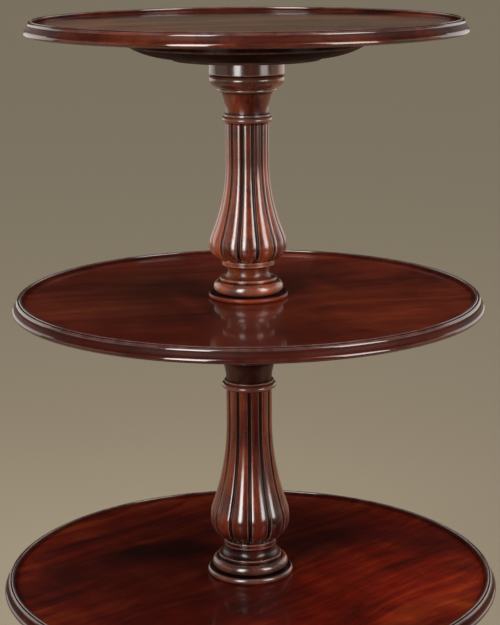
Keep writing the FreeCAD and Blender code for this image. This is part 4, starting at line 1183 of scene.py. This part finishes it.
@dataclass
class Shaft:
    """A shaft of convex lobes that swells into a bulb, its lobes parted by round channels."""

    radius: float
    straight: float
    bulb_radius: float
    bulb_shoulder: float
    bulb_rise: float
    bulb_end_radius: float
    channel_width: float
    first_crest: float
    channel_depth: float = 0.003
    crown_share: float = 0.075
    crown_power: float = 2.3
    end_height: float = 0.014
    end_lift: float = 0.0045
    end_tuck: float = 0.0018
    ring_gap: float = 0.0026
    reed_grime: float = 0.2
    reed_grime_start: float = 0.85
    lip_grime: float = 0.4
    arris_start: float = 0.88
    arris_width: float = 0.1

    def stations(self, top: float, bottom: float) -> list[Point]:
        """Crest radii and heights down the shaft.

        Args:
            top: Height of the shaft's upper end.
            bottom: Height of the bulb's lower end.

        Returns:
            Points of the shaft's outline, from the top down.
        """
        sweep_top = top - self.straight
        widest = bottom + self.bulb_rise
        swell = self.bulb_radius - self.radius
        sweep = sweep_top - widest
        bow = sagitta_radius(sweep, swell)
        bulb_bow = bow * self.bulb_shoulder / sweep
        hollow_bow = bow - bulb_bow
        lean = math.atan2(sweep, bow - swell)
        drawn_in = self.bulb_radius - self.bulb_end_radius
        tuck_bow = sagitta_radius(self.bulb_rise, drawn_in)
        turn_point = sweep_top - hollow_bow * math.sin(lean)
        turn_radius = self.radius + hollow_bow * (1 - math.cos(lean))
        outline = Profile(self.radius, top)
        steps = math.ceil(self.straight / self.ring_gap)
        for step in range(1, steps + 1):
            outline.line(self.radius, top - self.straight * step / steps)
        outline.arc(turn_radius, turn_point, (self.radius + hollow_bow, sweep_top), clockwise=False)
        outline.arc(self.bulb_radius, widest, (self.bulb_radius - bulb_bow, widest), clockwise=True)
        outline.arc(self.bulb_end_radius, bottom, (self.bulb_radius - tuck_bow, widest), clockwise=True)
        return outline.points

    def rings(self, top: float, bottom: float) -> Rings:
        """Carves the lobes into rings between two heights, with rounded ends at the lower one."""
        reed_shares = np.array(REED_SHARES)
        channel_shares = np.array(CHANNEL_SHARES)
        aside = np.abs(reed_shares)
        sides = np.concatenate([aside, np.ones(len(channel_shares))]) ** self.crown_power
        start = self.reed_grime_start
        reed_dark = np.clip((aside - start) / (1 - start), 0, 1) * self.reed_grime
        channel_dark = self.lip_grime + (1 - self.lip_grime) * (1 - channel_shares ** 2)
        # The lips of the reeds carry the edge mask, which paints them pale: partly wear and partly a painted
        # highlight
        arris = np.clip((aside - self.arris_start) / self.arris_width, 0, 1)
        crevice = np.tile(np.concatenate([reed_dark, channel_dark]), LOBE_COUNT)
        edge = np.tile(np.concatenate([arris, 0 * channel_shares]), LOBE_COUNT)
        starts = self.first_crest + 2 * HALF_PITCH * np.arange(LOBE_COUNT)
        rows = []
        for crest, height in self.stations(top, bottom):
            half_channel = math.asin(self.channel_width / 2 / crest)
            half_reed = HALF_PITCH - half_channel
            crown = 2 * half_reed * crest * self.crown_share
            reed_radii = crest - crown * aside ** self.crown_power
            floor = crest - crown - self.channel_depth * np.sqrt(1 - channel_shares ** 2)
            ending = max(0.0, 1 - (height - bottom) / self.end_height) ** 2
            lobe_radii = np.concatenate([reed_radii, floor]) - self.end_tuck * ending * sides
            lobe_turns = np.concatenate([reed_shares * half_reed, HALF_PITCH + channel_shares * half_channel])
            turns = (starts[:, None] + lobe_turns).ravel()
            heights = np.tile(height + self.end_lift * ending * sides, LOBE_COUNT)
            rows.append((np.tile(lobe_radii, LOBE_COUNT), turns, heights, crevice, edge))
        return Rings(*(np.array(column) for column in zip(*rows)))


@dataclass
class Foot:
    """Lower mouldings of a column, each as a radius and a height."""

    ring: Moulding
    waist_top_radius: float
    waist: Moulding
    flare: Moulding
    plinth: Moulding
    torus: Moulding

    @property
    def drop(self) -> float:
        """Height from the bulb's lower end to the foot's underside."""
        return self.ring[1] + self.waist[1] + self.flare[1] + self.plinth[1] + self.torus[1]

    def trace(self, outline: Profile) -> None:
        """Carries a column's trace from the bulb's lower end to its foot."""
        outline.band(*self.ring)
        outline.hollow(self.waist_top_radius, *self.waist)
        outline.flared(*self.flare)
        outline.band(*self.plinth)
        outline.half_round(*self.torus)


@dataclass
class Hub:
    """The pedestal's lower end: a cap over a drum that has a flat for each leg."""

    ring: Moulding = (0.0424, 0.005)
    waist_radius: float = 0.038
    flare: Moulding = (0.045, 0.007)
    cap: Moulding = (0.055, 0.007)
    drum: Moulding = (0.050, 0.107)
    flat: float = 0.044
    legs: int = LEG_COUNT

    @property
    def drop(self) -> float:
        """Height from the bulb's lower end to the hub's underside."""
        return self.ring[1] + self.flare[1] + self.cap[1] + self.drum[1]

    def trace(self, outline: Profile) -> None:
        """Carries a column's trace from the bulb's lower end to the hub's underside."""
        outline.band(*self.ring)
        outline.line(self.waist_radius, outline.height)
        outline.flared(*self.flare)
        outline.half_round(*self.cap)
        outline.band(*self.drum)

    def flatten(self, rings: Rings, drum_top: float) -> None:
        """Planes the flats for the legs into the rings below the cap."""
        pitch = FULL_TURN / self.legs
        apart = (rings.turns - FRONT_TURN + pitch / 2) % pitch - pitch / 2
        limit = self.flat / np.cos(apart)
        is_drum = rings.heights < drum_top
        rings.radii = np.where(is_drum, np.minimum(rings.radii, limit), rings.radii)


@dataclass
class Column:
    """A turned and carved column under a board."""

    name: str
    tier_above: str
    capital: Capital
    shaft: Shaft
    foot: Union[Foot, Hub]
    has_upper_spigot: bool = False
    spigot_radius: float = 0.016
    recess_share: float = 0.9
    neck_painted_shade: float = 0.0
    seat_shade: float = 0.0035

    def build(self, material: Material) -> None:
        """Turns the column, carves its lobes, paints shade on its neck and above its seat, and dresses it."""
        low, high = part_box(f"{self.name}_column")
        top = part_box(f"{self.tier_above}_tier_block")[0].z
        is_pedestal = isinstance(self.foot, Hub)
        foot = low.z if is_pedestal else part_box(f"{self.name}_foot_ring")[1].z
        upper = Profile(AXIS_RADIUS, high.z)
        if self.has_upper_spigot:
            upper.line(self.spigot_radius, high.z)
            upper.line(self.spigot_radius, top)
        self.capital.trace(upper)
        bulb_end = foot + self.foot.drop
        lower = Profile(self.shaft.bulb_end_radius * self.recess_share, bulb_end)
        self.foot.trace(lower)
        if not is_pedestal:
            lower.line(self.spigot_radius, foot)
            lower.line(self.spigot_radius, low.z)
        lower.line(AXIS_RADIUS, low.z)
        lobes = self.shaft.rings(upper.height, bulb_end)
        head = upper.rings(SOFTNESS, lobes.turns[0], closed=False)
        tail = lower.rings(SOFTNESS, lobes.turns[-1], closed=False)
        # The neck is darkened as painted shade under the board above
        is_neck = head.heights > upper.height + self.capital.collar[1] + self.capital.astragal[1]
        head.crevice = np.where(is_neck, np.maximum(head.crevice, self.neck_painted_shade), head.crevice)
        if is_pedestal:
            self.foot.flatten(tail, foot + self.foot.drum[1] - SOFTNESS)
        else:
            # The torus's underside next to the foot ring is darkened as painted shade of the gap
            seat_painted_shade = np.clip(1 - (tail.heights - foot) / self.seat_shade, 0, 1)
            tail.crevice = np.maximum(tail.crevice, seat_painted_shade)
        whole = Rings.stacked([head, lobes, tail])
        piece = skinned(f"{self.name}_lobed_column", [whole.grid(is_loop=False)])
        dress(piece, f"{self.name}_column", material)


def upper_column() -> Column:
    """The slimmer column, between the top and middle boards."""
    return Column(
        "upper", "top",
        Capital((0.0485, 0.0174), (0.0415, 0.0015), (0.0482, 0.016), (0.038, 0.0045), 0.033,
                (0.0276, 0.0288), (0.0294, 0.003), (0.0324, 0.0072)),
        Shaft(0.0276, 0.049, 0.05, 0.016, 0.0184, 0.0346, 0.005, FRONT_TURN),
        Foot((0.0342, 0.006), 0.0305, (0.0267, 0.0086), (0.0345, 0.0082), (0.037, 0.0045), (0.0452, 0.0155)),
        has_upper_spigot=True)


def lower_column() -> Column:
    """The stouter column, between the middle and lower boards."""
    return Column(
        "lower", "middle",
        Capital((0.051, 0.016), (0.044, 0.0015), (0.051, 0.016), (0.04, 0.0045), 0.0355,
                (0.0299, 0.0267), (0.0324, 0.0029), (0.036, 0.008)),
        Shaft(0.0306, 0.045, 0.0536, 0.012, 0.031, 0.0356, 0.0054, FRONT_TURN + HALF_PITCH),
        Foot((0.0353, 0.007), 0.0336, (0.0325, 0.0055), (0.039, 0.008), (0.0415, 0.005), (0.0505, 0.014)),
        # Painted shade on the neck, under the middle board
        neck_painted_shade=0.75)


def base_column() -> Column:
    """The short pedestal under the lower board, with a hub for the legs."""
    return Column(
        "base", "lower",
        Capital((0.053, 0.015), (0.046, 0.0015), (0.053, 0.016), (0.042, 0.0045), 0.038,
                (0.0335, 0.015), (0.036, 0.0024), (0.04, 0.0085)),
        Shaft(0.0344, 0.005, 0.063, 0.018, 0.019, 0.043, 0.006, FRONT_TURN + HALF_PITCH),
        Hub())


# Legs

@dataclass(frozen=True)
class LegStation:
    """One section of a leg, by its place out from the axis and up from the castor's seat."""

    reach: float
    rise: float
    fall: float
    depth: float
    width: float


def eased_through(places: np.ndarray, knots: np.ndarray, values: np.ndarray) -> np.ndarray:
    """Values at places along a smooth curve through knots.

    Args:
        places: Where the values are wanted.
        knots: Where they are given, in rising order.
        values: The given values.

    Returns:
        A value for each place.
    """
    slopes = np.gradient(values, knots)
    index = np.clip(np.searchsorted(knots, places, side="right") - 1, 0, len(knots) - 2)
    span = knots[index + 1] - knots[index]
    share = (places - knots[index]) / span
    rest = 1 - share
    start = (1 + 2 * share) * rest ** 2 * values[index] + share * rest ** 2 * span * slopes[index]
    end = share ** 2 * (3 - 2 * share) * values[index + 1] - share ** 2 * rest * span * slopes[index + 1]
    return start + end


@dataclass
class Leg:
    """A cabriole leg that ends in a scrolled toe over its castor."""

    number: int
    azimuth: float
    stations: tuple[LegStation, ...] = (
        LegStation(0.044, 0.122, 0.0, 0.098, 0.044),
        LegStation(0.095, 0.128, 14.0, 0.080, 0.048),
        LegStation(0.147, 0.101, 40.0, 0.055, 0.043),
        LegStation(0.193, 0.060, 41.0, 0.041, 0.038),
        LegStation(0.238, 0.028, 22.0, 0.036, 0.040),
        LegStation(0.286, 0.019, 0.0, 0.038, 0.045),
    )
    squareness: float = 4.5
    sections: int = 72
    spokes: int = 96
    roll_radius: float = 0.021
    roll_width: float = 0.048
    roll_softness: float = 0.003
    scroll_pitch: float = 0.0062
    scroll_depth: float = 0.0016
    scroll_eye: float = 0.0045
    scroll_cut_width: float = 0.16
    face_steps: int = 28
    joint_shadow: float = 0.012
    arris_power: int = 6
    rim_wear: float = 0.5

    def limb(self, seat: float) -> Grid:
        """The leg's own length, from the hub's flat to the middle of its toe."""
        table = np.array([(s.reach, s.rise, math.radians(s.fall), s.depth, s.width) for s in self.stations])
        knots = np.concatenate([[0], np.cumsum(np.linalg.norm(np.diff(table[:, :2], axis=0), axis=1))])
        places = np.linspace(0, knots[-1], self.sections)
        eased = (eased_through(places, knots, column)[:, None] for column in table.T)
        reach, rise, fall, depth, width = eased
        turns = even_turns(self.spokes)
        power = 2 / self.squareness
        across = np.sign(np.cos(turns)) * np.abs(np.cos(turns)) ** power * width / 2
        along = np.sign(np.sin(turns)) * np.abs(np.sin(turns)) ** power * depth / 2
        local = np.stack([reach + along * np.sin(fall), across, seat + rise + along * np.cos(fall)], axis=-1)
        edge = np.broadcast_to(np.abs(np.sin(2 * turns)) ** self.arris_power, across.shape)
        shadow = np.broadcast_to(np.clip(1 - places / self.joint_shadow, 0, 1)[:, None], across.shape)
        ends = [np.broadcast_to(local[row].mean(axis=0), (1, self.spokes, AXES)) for row in (0, -1)]
        masks = [np.concatenate([mask[:1], mask, mask[-1:]]) for mask in (shadow, edge)]
        return Grid(np.concatenate([ends[0], local, ends[1]]), *masks)

    def scroll(self, seat: float) -> Grid:
        """The roll of the toe, with a spiral cut into either end."""
        half = self.roll_width / 2
        soft = self.roll_softness
        trace = Profile(AXIS_RADIUS, half)
        face_radius = self.roll_radius - soft
        for step in range(1, self.face_steps + 1):
            trace.soft(face_radius * step / self.face_steps, half)
        trace.arc(self.roll_radius, half - soft, (face_radius, half - soft), clockwise=True)
        face = np.array(trace.points)
        points = np.concatenate([face, face[::-1] * (1, -1)])
        turns = even_turns(self.spokes)
        radii = np.broadcast_to(points[:, :1], (len(points), self.spokes))
        winding = (radii / self.scroll_pitch - turns / FULL_TURN) % 1 - 0.5
        is_cut = (radii > self.scroll_eye) & (radii < face_radius)
        cut = np.where(is_cut, np.exp(-(winding / self.scroll_cut_width) ** 2), 0)
        out = points[:, 1:] - np.sign(points[:, 1:]) * self.scroll_depth * cut
        toe = self.stations[-1]
        reach = toe.reach + radii * np.cos(turns)
        height = seat + toe.rise + radii * np.sin(turns)
        is_rim = (points[:, :1] > face_radius) * np.ones(self.spokes)
        return Grid(np.stack([reach, out, height], axis=-1), cut, is_rim * self.rim_wear)

    def build(self, material: Material) -> None:
        """Shapes the leg, turns it to its side of the hub and dresses it."""
        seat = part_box(f"castor_{self.number}_plate")[1].z
        grids = [self.limb(seat), self.scroll(seat)]
        spin = np.array(Matrix.Rotation(math.radians(self.azimuth), 3, "Z"))
        for grid in grids:
            level = grid.places.copy()
            level[..., 2] = np.maximum(level[..., 2], seat)
            grid.places = level @ spin.T
        piece = skinned(f"cabriole_leg_{self.number}", grids)
        dress(piece, f"leg_{self.number}", material)


# Pieces kept as packed

def finish_nodes(names: Sequence[str], material: Material) -> None:
    """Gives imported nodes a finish.

    Args:
        names: The nodes.
        material: Their finish.
    """
    for name in names:
        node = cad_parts[name]
        if not node.material_slots:
            node.data.materials.append(material)
        for slot in node.material_slots:
            slot.material = material
        LOG.info("%s keeps its packed shape", name)


# Studio

@dataclass
class Softbox:
    """A rectangular lamp that faces a point of the table's axis.

    Azimuth 0 is in front of the table and 90 is to its right.
    """

    name: str
    azimuth: float
    elevation: float
    target_height: float
    width: float
    height: float
    radiance: float
    distance: float = 2.3
    colour: Triple = (1.0, 0.97, 0.93)
    spread: float = 100.0

    def build(self) -> None:
        """Hangs the lamp, with a power that gives its radiance straight ahead."""
        lamp = bpy.data.lights.new(self.name, "AREA")
        lamp.shape = "RECTANGLE"
        lamp.size = self.width
        lamp.size_y = self.height
        half_spread = math.radians(self.spread) / 2
        gain = math.tan(half_spread) / (math.tan(half_spread) - half_spread)
        lamp.energy = self.radiance * math.pi * lamp.size * lamp.size_y / gain
        lamp.spread = 2 * half_spread
        lamp.color = self.colour
        side = math.radians(self.azimuth)
        rise = math.radians(self.elevation)
        away = Vector((math.sin(side) * math.cos(rise), -math.cos(side) * math.cos(rise), math.sin(rise)))
        made = placed(self.name, lamp)
        made.location = Vector((0.0, 0.0, self.target_height)) + away * self.distance
        made.rotation_euler = away.to_track_quat("Z", "Y").to_euler()
        made.visible_camera = False


SOFTBOXES = (
    Softbox("left_softbox", -27.5, 16.0, 1.55, 0.85, 3.3, 10.8),
    Softbox("right_softbox", 53.0, 16.0, 1.9, 1.1, 3.5, 7.0),
    Softbox("left_side_screen", -80.0, 14.0, 0.9, 1.9, 1.4, 0.4),
    Softbox("right_side_screen", 92.0, 14.0, 0.9, 1.4, 1.4, 0.4),
    Softbox("left_back_screen", -132.0, 12.0, 0.9, 2.0, 1.6, 1.25),
    Softbox("right_back_screen", 132.0, 12.0, 0.9, 2.0, 1.6, 1.25),
)
LEVEL_GAZE = 90.0


@dataclass
class Studio:
    """Floor, lamps, surroundings and camera."""

    floor_reach: float = 60.0
    floor_colour: Colour = (0.39, 0.325, 0.232, 1.0)
    horizon_colour: Colour = (0.195, 0.158, 0.112, 1.0)
    upper_colour: Colour = (0.006, 0.0055, 0.005, 1.0)
    horizon_top: float = 0.07
    upper_bottom: float = 0.12
    flag_colour: Colour = (0.01, 0.01, 0.01, 1.0)
    flag_distance: float = 2.6
    flag_reach: float = 4.0
    flag_height: float = 0.75
    flag_gap: float = 0.8
    flag_lift: float = 0.003
    matt_roughness: float = 0.9
    matt_specular: float = 0.1
    overhead_strength: float = 1.6
    overhead_spread: float = 48.0
    camera_distance: float = 2.1927
    camera_over_middle_rim: float = 0.4751
    focal_pixels: float = 1727.7
    image_height_pixels: float = 625.0
    sensor: float = 36.0
    camera_fall: float = 12.91
    camera_roll: float = -0.417
    camera_yaw: float = -0.05
    camera_sight: float = 240.0

    def sheet(self, name: str, low: Triple, high: Triple, colour: Colour) -> bpy.types.Object:
        """Puts up a plain matt rectangle with two of its sides along X.

        Args:
            name: The new object's name.
            low: Its corner of least X, Y and Z.
            high: The corner opposite.
            colour: Its colour.

        Returns:
            The new object.
        """
        mesh = bpy.data.meshes.new(name)
        corners = [low, (high[0], *low[1:]), high, (low[0], *high[1:])]
        mesh.from_pydata(corners, [], [(0, 1, 2, 3)])
        made = placed(name, mesh)
        material, tree, shader = new_material(name)
        matt = {"Roughness": self.matt_roughness, "Specular IOR Level": self.matt_specular}
        tree.join(shader, {"Base Color": colour, **matt})
        mesh.materials.append(material)
        return made

    def floor(self) -> None:
        """Lays a plain pale floor, and black flags in front that only reflections see."""
        reach = self.floor_reach
        self.sheet("pale_floor", (-reach, -reach, 0.0), (reach, reach, 0.0), self.floor_colour)
        side = self.flag_reach
        back = -self.flag_distance
        lift = self.flag_lift
        flags = (
            ("upright_flag", (-side, back, 0.0), (side, back, self.flag_height)),
            ("lying_flag", (-side, back, lift), (side, -self.flag_gap, lift)),
        )
        for name, low, high in flags:
            flag = self.sheet(name, low, high, self.flag_colour)
            flag.visible_camera = False
            flag.visible_shadow = False
            flag.visible_diffuse = False

    def lamps(self) -> None:
        """Hangs two softboxes in front, dim screens beside and behind, and one broad light overhead.

        No highlight comes from the overhead light.
        """
        for lamp in SOFTBOXES:
            lamp.build()
        sun = bpy.data.lights.new("overhead", "SUN")
        sun.energy = self.overhead_strength
        sun.angle = math.radians(self.overhead_spread)
        placed("overhead", sun).visible_glossy = False

    def surroundings(self) -> None:
        """Fills the room with a taupe haze at the horizon that fades to a dark ceiling."""
        world = bpy.data.worlds.new("studio")
        world.use_nodes = True
        tree = Tree(world.node_tree)
        heading = tree.node("ShaderNodeTexCoord").outputs["Generated"]
        rise = tree.node("ShaderNodeSeparateXYZ", {0: heading}).outputs["Z"]
        share = tree.remap(rise, self.horizon_top, self.upper_bottom)
        colour = tree.mix(share, self.horizon_colour, self.upper_colour)
        tree.join(world.node_tree.nodes["Background"], {"Color": colour})
        bpy.context.scene.world = world

    def camera(self) -> None:
        """Stands the camera where the photograph was taken from."""
        lens = bpy.data.cameras.new("camera")
        lens.sensor_width = self.sensor
        lens.lens = self.focal_pixels * self.sensor / self.image_height_pixels
        lens.clip_end = self.camera_sight
        made = placed("camera", lens)
        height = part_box("middle_tier")[1].z + self.camera_over_middle_rim
        made.matrix_world = (
            Matrix.Translation((0.0, -self.camera_distance, height))
            @ Matrix.Rotation(math.radians(self.camera_yaw), 4, "Z")
            @ Matrix.Rotation(math.radians(LEVEL_GAZE - self.camera_fall), 4, "X")
            @ Matrix.Rotation(math.radians(self.camera_roll), 4, "Z"))
        bpy.context.scene.camera = made

    def build(self) -> None:
        """Sets up the whole studio."""
        self.floor()
        self.lamps()
        self.surroundings()
        self.camera()
        bpy.context.scene.view_settings.view_transform = "Standard"


def main() -> None:
    """Builds and dresses the table, piece by piece, and sets up the studio."""
    logging.basicConfig(level=logging.INFO, format="%(message)s")
    finishes = built_finishes()
    for tier, grime_and_shade in PANEL_GRIME.items():
        TrayTier(tier, has_hole=tier != "top", panel_grime=grime_and_shade).build(finishes[f"{tier}_board"])
    for tier in PANEL_GRIME:
        TierBlock(tier).build(finishes["tier_block"])
    upper_column().build(finishes["upper_turning"])
    FootRing("upper").build(finishes["upper_ring"])
    lower_column().build(finishes["lower_turning_with_painted_shade"])
    FootRing("lower").build(finishes["lower_turning_with_painted_shade"])
    base_column().build(finishes["lower_turning_with_painted_shade"])
    for number in range(1, LEG_COUNT + 1):
        Leg(number, FIRST_LEG_AZIMUTH + (number - 1) * LEG_PITCH).build(finishes["carved_leg"])
    screws = ["top_block_screws", "middle_block_screws", "lower_block_screws", "base_plate_screws"]
    finish_nodes(["base_plate"], finishes["black_iron"])
    finish_nodes([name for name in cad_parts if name.startswith("castor")], finishes["castor_brass"])
    finish_nodes(screws, finishes["screw_steel"])
    Studio().build()


if __name__ == "__main__":
    main()
